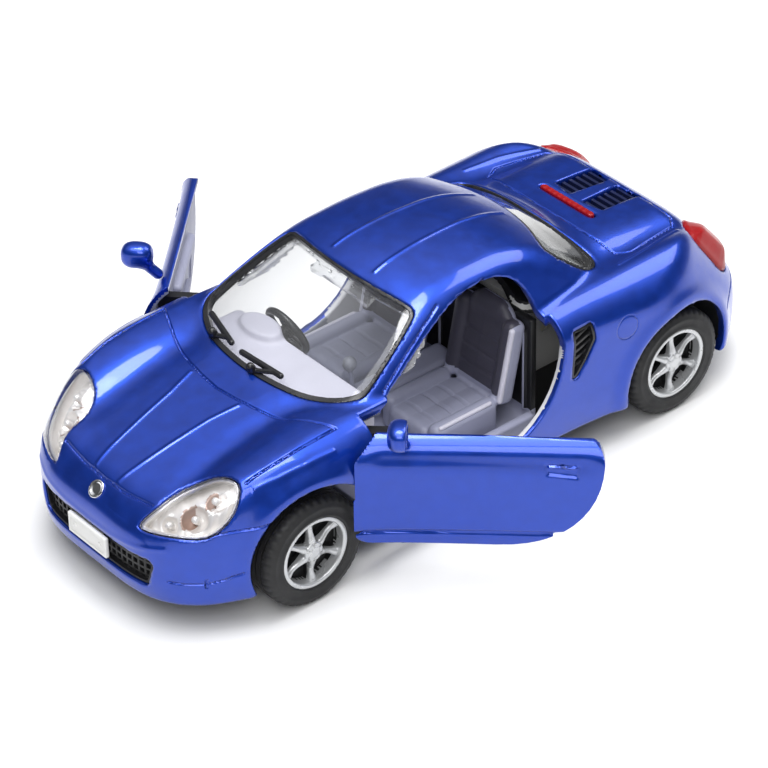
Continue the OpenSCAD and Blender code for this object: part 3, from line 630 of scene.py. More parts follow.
def material(name, colour, rough=0.4, grain=4000.0, bump=0.05, tint=0.12, wear=0.06, **inputs):
    """Moulded or cast surface: fine grain in the bump, with uneven colour and polish."""
    m = bpy.data.materials.new(name)
    m.use_nodes = True
    nodes, links = m.node_tree.nodes, m.node_tree.links
    surface = nodes["Principled BSDF"]
    surface.inputs["Roughness"].default_value = rough
    for key, value in inputs.items():
        surface.inputs[key.replace("_", " ")].default_value = value
    fine = noise(nodes, links, grain)
    broad = noise(nodes, links, grain / 22)
    mix = put(nodes, "Mix")
    mix.data_type = "RGBA"
    mix.inputs["A"].default_value = (*[c * (1 - tint) for c in colour], 1)
    mix.inputs["B"].default_value = (*[min(1, c * (1 + tint)) for c in colour], 1)
    links.new(broad, mix.inputs["Factor"])
    links.new(mix.outputs["Result"], surface.inputs["Base Color"])
    links.new(spread(nodes, links, broad, max(0.02, rough - wear), rough + wear),
              surface.inputs["Roughness"])
    relief = put(nodes, "Bump", Strength=bump, Distance=0.0001)
    links.new(fine, relief.inputs["Height"])
    links.new(relief.outputs["Normal"], surface.inputs["Normal"])
    return m


def clear_material(name, colour, gloss):
    """Thin clear plastic: seen straight through, with reflections that grow at the edges."""
    m = bpy.data.materials.new(name)
    m.use_nodes = True
    nodes, links = m.node_tree.nodes, m.node_tree.links
    nodes.remove(nodes["Principled BSDF"])
    through = put(nodes, "BsdfTransparent", Color=(*colour, 1))
    mirror = put(nodes, "BsdfGlossy", Roughness=0.04)
    edge = put(nodes, "LayerWeight", Blend=0.5)
    ripple = put(nodes, "Bump", Strength=0.02, Distance=0.0001)
    links.new(noise(nodes, links, 300), ripple.inputs["Height"])
    links.new(ripple.outputs["Normal"], edge.inputs["Normal"])
    links.new(ripple.outputs["Normal"], mirror.inputs["Normal"])
    steep = put(nodes, "Math")
    steep.operation = "POWER"
    steep.inputs[1].default_value = 2.5
    links.new(edge.outputs["Facing"], steep.inputs[0])
    gain = put(nodes, "Math")
    gain.operation = "MULTIPLY_ADD"
    gain.use_clamp = True
    gain.inputs[1].default_value = 1.5
    gain.inputs[2].default_value = gloss
    links.new(steep.outputs["Value"], gain.inputs[0])
    mix = put(nodes, "MixShader")
    links.new(gain.outputs["Value"], mix.inputs["Fac"])
    links.new(through.outputs["BSDF"], mix.inputs[1])
    links.new(mirror.outputs["BSDF"], mix.inputs[2])
    links.new(mix.outputs["Shader"], nodes["Material Output"].inputs["Surface"])
    return m


def paint_material():
    """Metallic electric blue: fine flake under a smooth clear coat."""
    m = material("blue_metallic_paint", (0.004, 0.044, 0.40), 0.34, 9000, 0.10, 0.16, 0.05,
                 Metallic=0.75, Coat_Weight=0.8, Coat_Roughness=0.07, Coat_IOR=1.5)
    nodes, links = m.node_tree.nodes, m.node_tree.links
    peel = put(nodes, "Bump", Strength=0.05, Distance=0.0002)
    links.new(noise(nodes, links, 500, 1), peel.inputs["Height"])
    links.new(peel.outputs["Normal"], nodes["Principled BSDF"].inputs["Coat Normal"])
    return m


PAINT = paint_material()
BARE = material("cast_inside", (0.30, 0.31, 0.36), 0.55, 3000, 0.25, Metallic=0.3)
# Cream for the door jambs, partly a cream edge and partly a painted highlight on it.
CREAM_AND_HIGHLIGHT = material("jamb_cream_painted_highlight", (0.62, 0.62, 0.64), 0.4, 3000, 0.12)
BLACK = material("black_trim", (0.012, 0.012, 0.014), 0.32, 6000, 0.15)
# Deepest black: for the grille bars and the rims' backs, and as painted shade inside the shell's wells and
# cabin back, on the tub's rear wall and under the rear window sheet.
BLACK_AND_SHADE = material("black_and_painted_shade", (0.006, 0.006, 0.007), 0.5, 6000, 0.12)
RUBBER = material("tyre_rubber", (0.009, 0.009, 0.010), 0.62, 7000, 0.35, 0.25, 0.1)
SILVER = material("silver_rim_plastic", (0.58, 0.59, 0.60), 0.30, 5000, 0.08, 0.08, Metallic=0.55)
GREY = material("grey_lavender_plastic", (0.32, 0.33, 0.44), 0.42, 5000, 0.25, 0.1)
PALE = material("pale_dash_plastic", (0.60, 0.59, 0.68), 0.45, 5000, 0.25, 0.08)
# Painted shade: the backrest's face is made near black.
SEAT_FACE_SHADE = material("seat_face_painted_shade", (0.055, 0.052, 0.075), 0.5, 5000, 0.35, 0.12)
CHROME = material("bright_plating", (0.86, 0.86, 0.88), 0.10, 2500, 0.05, 0.05, 0.04, Metallic=1.0)
PLATED = material("lamp_plating", (0.90, 0.87, 0.83), 0.34, 2500, 0.1, 0.05, Metallic=0.45)
# Painted shade: brown for the reflectors' backward-facing walls.
REFLECTOR_SHADE_BROWN = material("reflector_painted_shade_brown", (0.40, 0.27, 0.21), 0.4, 2500, 0.08, Metallic=0.3)
# Painted shade: near black navy for the recessed engine vents.
VENT_SHADE_NAVY = material("vent_navy_painted_shade", (0.006, 0.010, 0.045), 0.35, 5000, 0.15)
RED = material("red_lamp_plastic", (0.28, 0.003, 0.005), 0.36, 3000, 0.06, 0.2, 0.05,
               Coat_Weight=0.25, Coat_Roughness=0.2, Specular_IOR_Level=0.25, Subsurface_Weight=0.1)
WHITE = material("white_plate_plastic", (0.80, 0.80, 0.78), 0.35, 5000, 0.08, 0.05)
STEEL = material("drawn_steel", (0.56, 0.57, 0.58), 0.25, 5000, 0.12, 0.1, 0.08, Metallic=1.0)
NYLON = material("gear_nylon", (0.78, 0.74, 0.62), 0.38, 4000, 0.1, 0.06, Subsurface_Weight=0.1)
CASE = material("motor_case_plastic", (0.70, 0.70, 0.68), 0.4, 4000, 0.15, 0.06)
SPRING = material("blued_spring_steel", (0.22, 0.24, 0.28), 0.25, 5000, 0.12, 0.15, Metallic=1.0)
GLASS = clear_material("window_clear", (0.97, 0.975, 0.98), 0.035)
LENS = clear_material("lens_clear", (0.98, 0.985, 1.0), 0.06)


def step(fine):
    return fine


FLIP = Matrix.Diagonal((1, -1, 1, 1))


def about(place):
    """Shift in the ground plane."""
    return Matrix.Translation((*place, 0))


def swing(side):
    """Turns a door from its closed place to where it stands open."""
    angle = math.radians(joint[f"{side}_door_hinge"]["range_deg"][0])
    return about(HINGE) @ Matrix.Rotation(angle, 4, "Z") @ about([-c for c in HINGE])


OPEN_DOOR = {side: swing(side) for side in ("left", "right")}


def mesh_of(field, low, high, fine):
    """Mesh of a field with its shading normals."""
    return corner_normals(field, contour(field, low, high, step(fine)))


def add(name, shape, materials, body, nodes=(), faces=None):
    """Puts a shape in the scene as one piece, on its body, in place of its CAD nodes."""
    obj = make_object(name, shape, materials, faces)
    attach(obj, body)
    if nodes:
        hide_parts(*nodes)


def face_centres(shape):
    """The x, y and z of each face's middle."""
    return shape["v"][shape["f"]].mean(1).T


def add_pair(name, shape, materials, body, node, faces=None, place=None):
    """The same piece on both sides; body and node hold SIDE where the side's name goes."""
    for side, mirror in (("left", Matrix.Identity(4)), ("right", FLIP)):
        matrix = mirror @ place[side] if place else mirror
        nodes = [node.replace("SIDE", side)] if node else []
        add(f"{side}_{name}", moved(shape, matrix), materials, body.replace("SIDE", side), nodes,
            faces)


def distance(x, y, z, place):
    """Distance to one point."""
    return np.sqrt((x - place[0]) ** 2 + (y - place[1]) ** 2 + (z - place[2]) ** 2)


def capsule(x, y, z, a, b, r):
    """Rod with round ends from a to b."""
    a, b = np.array(a, float), np.array(b, float)
    d = b - a
    t = np.clip(((x - a[0]) * d[0] + (y - a[1]) * d[1] + (z - a[2]) * d[2]) / (d @ d), 0, 1)
    return distance(x - t * d[0], y - t * d[1], z - t * d[2], a) - r


def block(x, y, z, low, high, r):
    """Box from low to high with its edges rounded by r."""
    q = [np.abs(c - (lo + hi) / 2) - (hi - lo) / 2 + r for c, lo, hi in zip((x, y, z), low, high)]
    outside = np.sqrt(sum(np.maximum(c, 0) ** 2 for c in q))
    return outside + np.minimum(np.maximum(np.maximum(q[0], q[1]), q[2]), 0) - r


def layer(x, y, z, outer, inner):
    """Skin that follows the car's form, from outer to inner millimetres below it."""
    f = form(x, y, z)
    return meet(f + outer, -f - inner)


# ---------------------------------------------------------------- body shell
def body_shell():
    shape = contour(shell_field, (-62.5, -28, 3), (64.5, 28, 42), step(0.45))
    for reach in (0.9, 0.6):
        shape = refine(shape, lambda p: near_detail(p, reach))
    near = near_detail(shape["v"], 0.6)
    shape["v"][near] = settle(shape["v"][near], painted_field)
    corner_normals(painted_field, shape)
    x, y, z = face_centres(shape)
    depth = -form(x, y, z)
    inside = depth > WALL - 0.25
    # Painted highlight: the reveal at the door opening's rear is cream, partly for a cream edge and partly
    # for its highlights.
    jamb_cream_highlight = (depth > 0.7) & (depth < 2.4) & (x < -4) & (x > -17) & (z < 24) & (np.abs(y) > 23)
    # Painted shade: the shell's inside near the front wheels and behind the cabin takes the deepest black.
    shaded_inside = inside & (((z < 24) & (x > 20)) | ((z < 34) & (x < -9)))
    slots = np.where(jamb_cream_highlight, 2, np.where(shaded_inside, 3, np.where(inside, 1, 0)))
    add("body_casting", shape, [PAINT, BARE, CREAM_AND_HIGHLIGHT, BLACK_AND_SHADE], "car_body", ["body_shell"], slots)


# ---------------------------------------------------------------- glass
def pane_outline(x, a, z):
    """Distance outside the nearer of the two screens' openings."""
    return np.where(x > 0, screen_outline(x, a, z), backlight_outline(x, a, z))


def screen_reach(x):
    """Positive between the two screens, where neither has anything."""
    return np.where(x > -4, 8 - x, x + 12)


def glazing_field(x, y, z):
    """Both screens in one moulding, with their flanges and a strip that joins them."""
    a = np.abs(y)
    rim, reach = pane_outline(x, a, z), screen_reach(x)
    pane = meet(layer(x, y, z, 0.35, 1.25), rim + 0.04, reach)
    flange = meet(layer(x, y, z, 1.12, 2.5), np.abs(rim + 0.1) - 0.9, form(x, y, z) + 1.68, reach)
    strip = meet(layer(x, y, z, 1.72, 2.5), a - 7, np.abs(x + 5) - 17)
    return join(pane, meet(strip, 33 - z), meet(flange, 28.6 - z))


def seal_field(x, y, z):
    """Black rubber strip around a screen, between the glass and the painted edge."""
    a = np.abs(y)
    rim = pane_outline(x, a, z) + 0.03
    foot = 0.5 + 0.4 * ease(30, 28.5, z) * (x > 0)
    return meet(layer(x, y, z, 0.12, 1.5), rim, -rim - foot, screen_reach(x))


def windows():
    shape = mesh_of(glazing_field, (-36, -21, 26), (34, 21, 41), 0.5)
    add("window_moulding", shape, [GLASS], "car_body", ["window_glazing"])
    for name, low, high in (("windscreen_seal", (7, -21, 26), (34, 21, 40)),
                            ("rear_screen_seal", (-36, -20, 28), (-11, 20, 40))):
        add(name, mesh_of(seal_field, low, high, 0.3), [BLACK], "car_body")


def wiper_field(x, y, z):
    """Two wipers, each a blade, an arm and the knob of its spindle."""
    f = np.full(x.shape, 9.0)
    lift, knob_lift = -0.25, -1.2
    blade_z, foot_z = 28.5, 27.9
    for start, length in ((-14.2, 8.4), (-2.6, 9.0)):
        end, foot_y = start + length, start + 4.2
        foot = screen_point(foot_y, foot_z, lift)
        blade = (screen_point(start, blade_z, lift), screen_point(end, blade_z, lift), 0.5)
        arm = (foot, screen_point(end - 1.6, blade_z, lift), 0.4)
        knob = (foot, screen_point(foot_y, foot_z, knob_lift), 0.7)
        for a, b, r in (blade, arm, knob):
            f = join(f, capsule(x, y, z, a, b, r))
    return f


def screen_point(y, z, depth):
    """Point at a depth below the windscreen's outer face."""
    out = np.array([1, 0, 2]) / math.sqrt(5)
    return np.array([30.5 - 2 * (z - BELT_Z) - 5.5 * (y / 19) ** 2, y, z]) - out * depth


def wipers():
    shape = mesh_of(wiper_field, (20, -18, 25), (33, 10, 31), 0.2)
    add("wiper_blades", shape, [BLACK], "car_body", ["wipers"])


# ---------------------------------------------------------------- lamps
def headlight_lens_field(x, y, z):
    return meet(layer(x, y, z, 0.02, 0.75), head_outline(x, y, z) + 0.2)


REFLECTORS = [((54.8, 17.0, 20.0), 2.1), ((51.6, 18.2, 22.6), 1.8), ((57.4, 14.0, 18.4), 1.4)]


def bowl_field(x, y, z):
    """Plated bowl: a tray below the lens, with round reflectors and a finned floor."""
    rim = head_outline(x, y, z)
    fins = 0.12 * np.cos(2.6 * (x - y * 0.6 + z * 0.3))
    hollow = meet(-form(x, y, z) - 2.6 - fins, rim + 0.75)
    f = both(meet(layer(x, y, z, 0.85, 6.2), rim + 0.22), -hollow, 0.3)
    for place, r in REFLECTORS:
        c = np.array(place) - HEADLIGHT_DIR
        f = both(f, r - distance(x, y, z, c), 0.3)
        c = c - (r - 0.4) * HEADLIGHT_DIR
        f = join(f, capsule(x, y, z, c, c + HEADLIGHT_DIR * 1.4, 0.6))
    return f


def bowl_slots(shape):
    """Brown painted shade on the reflectors' walls that face backwards."""
    x, y, z = face_centres(shape)
    shade = np.zeros(len(x), bool)
    for place, r in REFLECTORS[:2]:
        c = np.array(place) - HEADLIGHT_DIR
        d = distance(x, y, z, c)
        shade |= (np.abs(d - r) < 0.3) & (y < c[1] - 0.25 * r) & (x > c[0] - 1.4)
    return shade.astype(int)


def headlights():
    box = ((45, 8, 12), (64, 24, 28))
    add_pair("lamp_lens", mesh_of(headlight_lens_field, *box, 0.3), [LENS], "car_body",
             "SIDE_headlight_lens")
    shape = mesh_of(bowl_field, *box, 0.26)
    add_pair("lamp_reflector", shape, [PLATED, REFLECTOR_SHADE_BROWN], "car_body", "SIDE_headlight_bowl",
             bowl_slots(shape))


def taillight_field(x, y, z):
    """Smooth red lens standing a little proud of the body."""
    rim = tail_outline(x, y, z) + 0.18
    f = form(x, y, z)
    bulge = 0.4 + 1.6 * ease(0, -3.0, rim)
    return both(meet(f - bulge, -f - 1.0), rim, 0.5)


def taillights():
    shape = mesh_of(taillight_field, (-62, 7, 16), (-43, 23, 33), 0.28)
    add_pair("tail_lamp", shape, [RED], "car_body", "SIDE_taillight")


def brake_light_field(x, y, z):
    """High brake lamp: a ribbed red bar across the deck."""
    bar = path_distance(brake_bar(5.7), x, y) - 0.6
    ribs = 0.04 * np.cos(5.2 * y)
    return both(meet(form(x, y, z) - 0.3 + ribs, -form(x, y, z) - 1.0), bar, 0.35)


# ---------------------------------------------------------------- trim
def mesh_bars(u, w, pitch, thick):
    """Distance outside a lattice of bars."""
    du = pitch / 2 - np.abs(np.mod(u, pitch) - pitch / 2)
    dw = pitch / 2 - np.abs(np.mod(w, pitch) - pitch / 2)
    return join(du, dw) - thick / 2


def grille_field(x, y, z):
    """Lattice of bars in a border, with a plate behind it."""
    inside = outline(GRILLE, np.abs(y), z) - 1.12
    bars = meet(layer(x, y, z, 1.2, 1.9), mesh_bars(y, z, 1.3, 0.42))
    back = layer(x, y, z, 1.8, 2.5)
    border = meet(layer(x, y, z, 0.5, 2.5), -inside - 0.5)
    return meet(join(bars, back, border), inside)


def intake_field(x, y, z):
    """Slanting slats in a border, with a plate behind them."""
    inside = outline(INTAKE, x, z) - 0.68
    slats = meet(layer(x, y, z, 0.9, 2.0), np.abs(np.mod(z + 0.4 * x, 1.3) - 0.65) - 0.22)
    back = layer(x, y, z, 1.8, 2.6)
    border = meet(layer(x, y, z, 0.3, 2.6), -inside - 0.45)
    return meet(join(slats, back, border), inside)


def vents_field(x, y, z):
    """Slats across the two engine vents, on a plate."""
    inside = vent_outline(x, np.abs(y)) - 0.42
    slats = meet(layer(x, y, z, 0.5, 1.7), np.abs(np.mod(x, 1.5) - 0.75) - 0.3)
    back = layer(x, y, z, 1.5, 2.3)
    return meet(join(slats, back), inside)


def plate_field(x, y, z, node):
    """Blank plate with round corners and a raised rim, and two fixing dimples."""
    low, high = mm_box(node)
    foot = block(x, y, z, low, (high[0] - 0.4, 2, low[2] + 3), 0.1) if node == "front_plate" else 9.0
    low = np.array([max(low[0], high[0] - 0.8), low[1], low[2]])
    f = block(x, y, z, low, high, 0.3)
    centre, half = (low + high) / 2, (high - low) / 2
    v, w = np.abs(y - centre[1]), np.abs(z - centre[2])
    field_in = meet(v - half[1] + 0.7, w - half[2] + 0.7)
    face = half[0] - np.abs(x - centre[0]) - 0.18
    f = meet(f, -meet(field_in, face))
    pegs = meet(np.hypot(v - half[1] + 1.7, w) - 0.34, face + 0.02)
    return join(f, foot, meet(pegs, np.abs(x - centre[0]) - half[0]))


def roundel_field(x, y, z):
    """Plain round badge: a dished disc with a raised rim and no device."""
    low, high = mm_box("nose_roundel")
    centre = (low + high) / 2
    r = distance(x, y, z, centre)
    ring = form(x, y, z) - 0.3 + 0.18 * ease(1.45, 1.2, r) - 0.2 * ease(0.7, 0.2, r)
    return both(meet(ring, -form(x, y, z) - 0.3), r - 1.75, 0.25)


def trim():
    add("brake_bar", mesh_of(brake_light_field, (-39, -8, 27), (-35, 8, 33), 0.2), [RED], "car_body",
        ["brake_light"])
    # The grille bars take the deepest black, partly painted shade for their recess.
    add("grille_mesh", mesh_of(grille_field, (52, -15.5, 6), (64, 15.5, 15), 0.22), [BLACK_AND_SHADE], "car_body",
        ["front_grille"])
    shape = mesh_of(intake_field, (-22, 21, 15), (-14, 28, 28), 0.2)
    add_pair("intake_mesh", shape, [BLACK], "car_body", "SIDE_intake_grille")
    # The vents take a near black navy, painted shade for their recess.
    add("engine_vents", mesh_of(vents_field, (-49, -7, 25), (-38, 7, 31), 0.22), [VENT_SHADE_NAVY], "car_body",
        ["engine_vent_panel"])
    for node in ("front_plate", "rear_plate"):
        low, high = mm_box(node)
        shape = mesh_of(lambda x, y, z: plate_field(x, y, z, node), low - 1, high + 1, 0.16)
        add(node + "_blank", shape, [WHITE], "car_body", [node])
    low, high = mm_box("nose_roundel")
    add("roundel_badge", mesh_of(roundel_field, low - 2, high + 2, 0.15), [CHROME], "car_body",
        ["nose_roundel"])


# ---------------------------------------------------------------- doors
CARD = ((-11.5, 22.5, 9.4), (17.0, 23.5, 25.2))
MIRROR = np.array([17.6, 27.4, 31.0])
MIRROR_GLASS = 0.85


def door_field(x, y, z):
    """Door skin in its closed place, with its lower gap, its crease and its handle."""
    f0 = form(x, y, z)
    crease = 0.35 * np.exp(-((z - 24.3) / 1.3) ** 2) * ease(24, 20, x) * ease(-14, -10, x)
    edge = both(outline(DOOR_OUTLINE, x, z), z - 27.9, 3.6)
    f = meet(f0 + 0.02 + crease, edge)
    f = both(f, DOOR_INNER - y, 0.3)
    f = meet(f, -meet(form(x, y, z, 2.0) + DOOR_WALL, DOOR_INNER - 9 - y))
    f = meet(f, SWING_R - np.hypot(x - HINGE[0], y - HINGE[1]))
    low_gap = 0.36 * np.exp(-((z - 11.2 + 0.012 * (x - 5)) / 0.34) ** 2)
    handle = outline([(-9.2, 22.2), (-4.6, 22.6), (-4.4, 24.2), (-9.4, 24.0)], x, z) - 0.3
    scoop = 0.4 * ease(0.1, -0.7, handle)
    lever = 0.5 * ease(0.35, 0.1, np.abs(z - 23.9)) * ease(2.3, 2.0, np.abs(x + 6.9))
    return f + (low_gap + scoop - lever) * ease(-0.9, -0.5, f0)


def card_field(x, y, z):
    """Inner trim panel: soft edges, an armrest, a pocket and a pull."""
    low, high = CARD
    edge = outline(DOOR_OUTLINE, x, z) + 1.6
    f = both(edge, block(x, y, z, low, high, 0.2), 0.5)
    face = low[1]
    panel = meet(outline([(-6, 19.5), (-3, 13), (14, 12), (15, 20.5)], x, z), y - face - 0.25)
    f = meet(f, -panel)
    f = either(f, capsule(x, y, z, (-2, face - 0.4, 21.6), (13, face - 0.4, 21.6), 0.9), 0.6)
    return either(f, capsule(x, y, z, (0, face - 0.1, 14.2), (11, face - 0.1, 13.6), 0.45), 0.3)


def mirror_field(x, y, z):
    """Wing mirror: a rounded housing with a flat glass, on a short stalk."""
    u, v, w = (x - MIRROR[0]) / 1.95, (y - MIRROR[1]) / 2.65, (z - MIRROR[2]) / 2.15
    r = (np.abs(u) ** 2.6 + np.abs(v) ** 2.6 + np.abs(w) ** 2.6) ** (1 / 2.6)
    f = (r - 1) * 1.9
    f = both(f, MIRROR[0] - 1.1 - x, 0.3)
    glass = meet((np.sqrt(v * v + w * w) - 0.78) * 2, x - MIRROR[0] + MIRROR_GLASS)
    f = meet(f, -glass)
    stalk = capsule(x, y, z, MIRROR + [0.1, -1.2, -1.6], (17.2, 24.3, 27.2), 0.9)
    return either(f, stalk, 0.8)


def doors():
    shape = mesh_of(door_field, (-17, 20, 6), (26, 29, 31), 0.36)
    x, y, z = face_centres(shape)
    inside = form(x, y, z) < -0.75
    add_pair("door_skin", shape, [PAINT, BARE], "SIDE_door_body", "SIDE_door",
             inside.astype(int), OPEN_DOOR)
    shape = mesh_of(card_field, (-13, 20.5, 8), (18.5, 24.5, 27), 0.36)
    add_pair("door_trim", shape, [GREY], "SIDE_door_body", "SIDE_door_card",
             place=OPEN_DOOR)
    shape = mesh_of(mirror_field, (14, 22, 25), (21, 32, 35), 0.26)
    x, y, z = face_centres(shape)
    glass = ((np.abs(x - MIRROR[0] + MIRROR_GLASS) < 0.1)
             & (np.hypot((y - MIRROR[1]) / 2.65, (z - MIRROR[2]) / 2.15) < 0.77))
    add_pair("wing_mirror", shape, [PAINT, CHROME], "SIDE_door_body", "SIDE_mirror",
             glass.astype(int), OPEN_DOOR)


# ---------------------------------------------------------------- cabin
TUB_LOW, TUB_HIGH = mm_box("interior_tub")
SEAT_Y = 10.6


def tub_field(x, y, z):
    """Cabin floor, sills, tunnel, rear bulkhead and the flange at each door's rear edge."""
    a = np.abs(y)
    floor = block(x, a, z, (-12.5, -1, 5.9), (23, 20, 7.3), 0.3)
    tunnel = block(x, a, z, (-11, -2, 6.5), (21, 2.8, 12.5), 1.1)
    wall = block(x, a, z, (-13.4, -1, 6.5), (-12.2, 18.8, 26.6), 0.3)
    f = either(either(floor, tunnel, 0.8), wall, 1.2)
    for i in range(4):
        rib = capsule(x, a, z, (-12.1, 3.5 + i * 4.6, 9), (-12.1, 3.5 + i * 4.6, 24), 0.35)
        f = either(f, rib, 0.3)
    sill = block(x, a, z, (-12, 18.6, 6.2), (23, 20.2, 9.2), 0.5)
    f = either(f, sill, 0.5)
    rim = outline(OPENING, x, z)
    flange = meet(rim - 1.4, 0.45 - rim, 23.4 - a, x + 3.5)
    flange = meet(flange, z - 26, form(x, y, z) + WALL + 0.05)
    lever = capsule(x, y, z, (9.4, 0, 12), (10.1, 0, 18.2), 0.4)
    return join(f, flange, lever)


def reflection_sheet_field(x, y, z):
    """Pale sheet that follows the rear window from below, a painted reflection that makes the window look
    bright.
    """
    return meet(layer(x, y, z, 2.7, 3.5), backlight_outline(x, np.abs(y), z) - 0.8)


def knob_field(x, y, z):
    """Gear knob with a thin line round it."""
    r = np.sqrt((x - 10.1) ** 2 + y**2 + ((z - 18.8) * 0.85) ** 2)
    return meet(r - 1.15, 0.3 - r) + 0.05 * ease(0.12, 0.05, np.abs(z - 18.5))


def backrest_axes(x, z):
    """Places forward of the leaning backrest's middle and up along it."""
    lean = math.radians(12)
    s = (x + 7.4) * math.cos(lean) + (z - 11) * math.sin(lean)
    return s, -(x + 7.4) * math.sin(lean) + (z - 11) * math.cos(lean)


def seat_field(x, y, z):
    """Seat with side bolsters, a leaning back and a headrest, all softly rounded."""
    v = np.abs(y - SEAT_Y)
    f = block(x, v, z, (-7, -1, 7.0), (7.5, 4.7, 12.2), 1.4) - 0.25 * np.exp(-((v - 1.8) / 1.6) ** 2)
    f = either(f, block(x, v, z, (-6.5, 4.2, 7.0), (7.0, 7.0, 13.4), 1.3), 0.5)
    s, t = backrest_axes(x, z)
    back = block(s, v, t, (-2.2, -1, -0.5), (0.7, 4.8, 16.4), 1.4)
    back = either(back, block(s, v, t, (-2.1, 4.2, 0.5), (1.5, 7.1, 15.4), 1.3), 0.7)
    head = block(s, v, t, (-1.8, -1, 13.6), (0.6, 3.4, 17.5), 1.3)
    f = either(either(f, back, 0.8), head, 1.2)
    on_seat = (z < 13) & (x > -5)
    seams = np.where(on_seat, np.abs(np.mod(x + 1, 3.4) - 1.7), np.abs(np.mod(t, 3.0) - 1.5))
    inner = ease(4.3, 3.6, v) * (t < 13)
    return f + 0.16 * np.exp(-(seams / 0.3) ** 2) * inner


def piping_field(x, y, z):
    """Pale edging along the front of the backrest and the top of the cushion's outer side."""
    s, t = backrest_axes(x, z)
    f = capsule(s, y, t, (1.0, SEAT_Y + 6.7, 1.6), (1.0, SEAT_Y + 6.7, 14.2), 0.5)
    return join(f, capsule(x, y, z, (-4.8, SEAT_Y + 6.5, 13.1), (5.6, SEAT_Y + 6.5, 13.1), 0.35))


def seat_slots(shape):
    """Painted shade: the front of the backrest is darker, as if in shadow."""
    x, y, z = face_centres(shape)
    s, t = backrest_axes(x, z)
    return ((t > 2.4) & (s > -0.6) & (np.abs(y - SEAT_Y) < 6.7)).astype(int)


def dash_field(x, y, z):
    """Dashboard: a sloping top under the screen, an instrument hood and air vents."""
    a = np.abs(y)
    f = block(x, a, z, (18.6, -1, 19), (30.5, 17.4, 25.4), 1.6)
    f = meet(f, z - 25.2 + 0.02 * (22 - x))
    f = both(f, a - 18.6 + 0.25 * (x - 19) - 2.0, 0.8)
    hood = np.hypot(x - 20.4, (y + 9.6) / 1.7) - 2.6
    f = either(f, both(hood, np.abs(z - 24.6) - 1.9, 0.8), 1.0)
    console = block(x, a, z, (20.6, -1, 12.7), (24, 3.2, 20), 0.6)
    f = either(f, console, 0.8)
    for centre in (-15, -3.6, 3.6, 15):
        vent = block(x, y, z, (17.6, centre - 1.3, 22.4), (19.1, centre + 1.3, 24.0), 0.3)
        f = meet(f, -vent)
        bar = block(x, y, z, (18.7, centre - 1.4, 23.05), (19.2, centre + 1.4, 23.3), 0.1)
        f = join(f, bar)
    return meet(f, form(x, y, z) + WALL + 0.25)


WHEEL_TILT = math.radians(-68)
WHEEL_AT = np.array([15, -9.6, 22.6])


def steering_field(x, y, z):
    """Three-spoked steering wheel on its column."""
    c, s = math.cos(WHEEL_TILT), math.sin(WHEEL_TILT)
    u = (x - WHEEL_AT[0]) * c - (z - WHEEL_AT[2]) * s
    w = (x - WHEEL_AT[0]) * s + (z - WHEEL_AT[2]) * c
    v = y - WHEEL_AT[1]
    r = np.hypot(u, v)
    f = np.hypot(r - 4.2, w) - 0.62
    for turn in (0, 120, 240):
        d = np.array([math.cos(math.radians(turn)), math.sin(math.radians(turn))])
        f = either(f, capsule(u, v, w, (0, 0, 0), (d[0] * 4, d[1] * 4, 0), 0.42), 0.3)
    f = either(f, meet(r - 1.25, np.abs(w) - 0.6), 0.3)
    return join(f, meet(r - 0.9, w, -w - 4.2))


def cabin():
    shape = mesh_of(tub_field, TUB_LOW - [6, 5, 2], TUB_HIGH + [3, 5, 3], 0.42)
    x, y, z = face_centres(shape)
    # The flange is cream, partly as a painted highlight along the door opening's rear edge.
    flange = (np.abs(y) > 23.1) & (outline(OPENING, x, z) > 0.3) & (x < -3)
    # Painted shade: the tub's rear wall behind the seats takes the deepest black.
    rear = (x < -11.9) & (z > 9) & ~flange
    add("cabin_tub", shape, [GREY, CREAM_AND_HIGHLIGHT, BLACK_AND_SHADE], "car_body", ["interior_tub"],
        np.where(flange, 1, np.where(rear, 2, 0)))
    shape = mesh_of(seat_field, (-14, 2.6, 6), (9, 18.6, 30), 0.36)
    add_pair("seat", shape, [GREY, SEAT_FACE_SHADE], "car_body", "", seat_slots(shape))
    shape = mesh_of(piping_field, (-14, 15, 10), (8, 19, 28), 0.24)
    add_pair("seat_piping", shape, [PALE], "car_body", "")
    shape = mesh_of(reflection_sheet_field, (-36, -19, 16), (-4, 19, 38), 0.4)
    # Painted shade: the sheet's underside takes the deepest black. Its white top is a painted reflection.
    under = -form(*face_centres(shape)) > 3.1
    add("rear_window_reflection_sheet", shape, [WHITE, BLACK_AND_SHADE], "car_body", faces=under.astype(int))
    shape = mesh_of(knob_field, (8, -2, 17), (12, 2, 21), 0.2)
    add("gear_knob", shape, [BARE], "car_body")
    shape = mesh_of(dash_field, (16.5, -20, 11.5), (32, 20, 28), 0.4)
    add("dashboard_top", shape, [PALE], "car_body", ["dashboard"])
    shape = mesh_of(steering_field, (9, -16, 16), (21, -3, 29), 0.26)
    add("steering_rim", shape, [BLACK], "car_body", ["steering_wheel"])


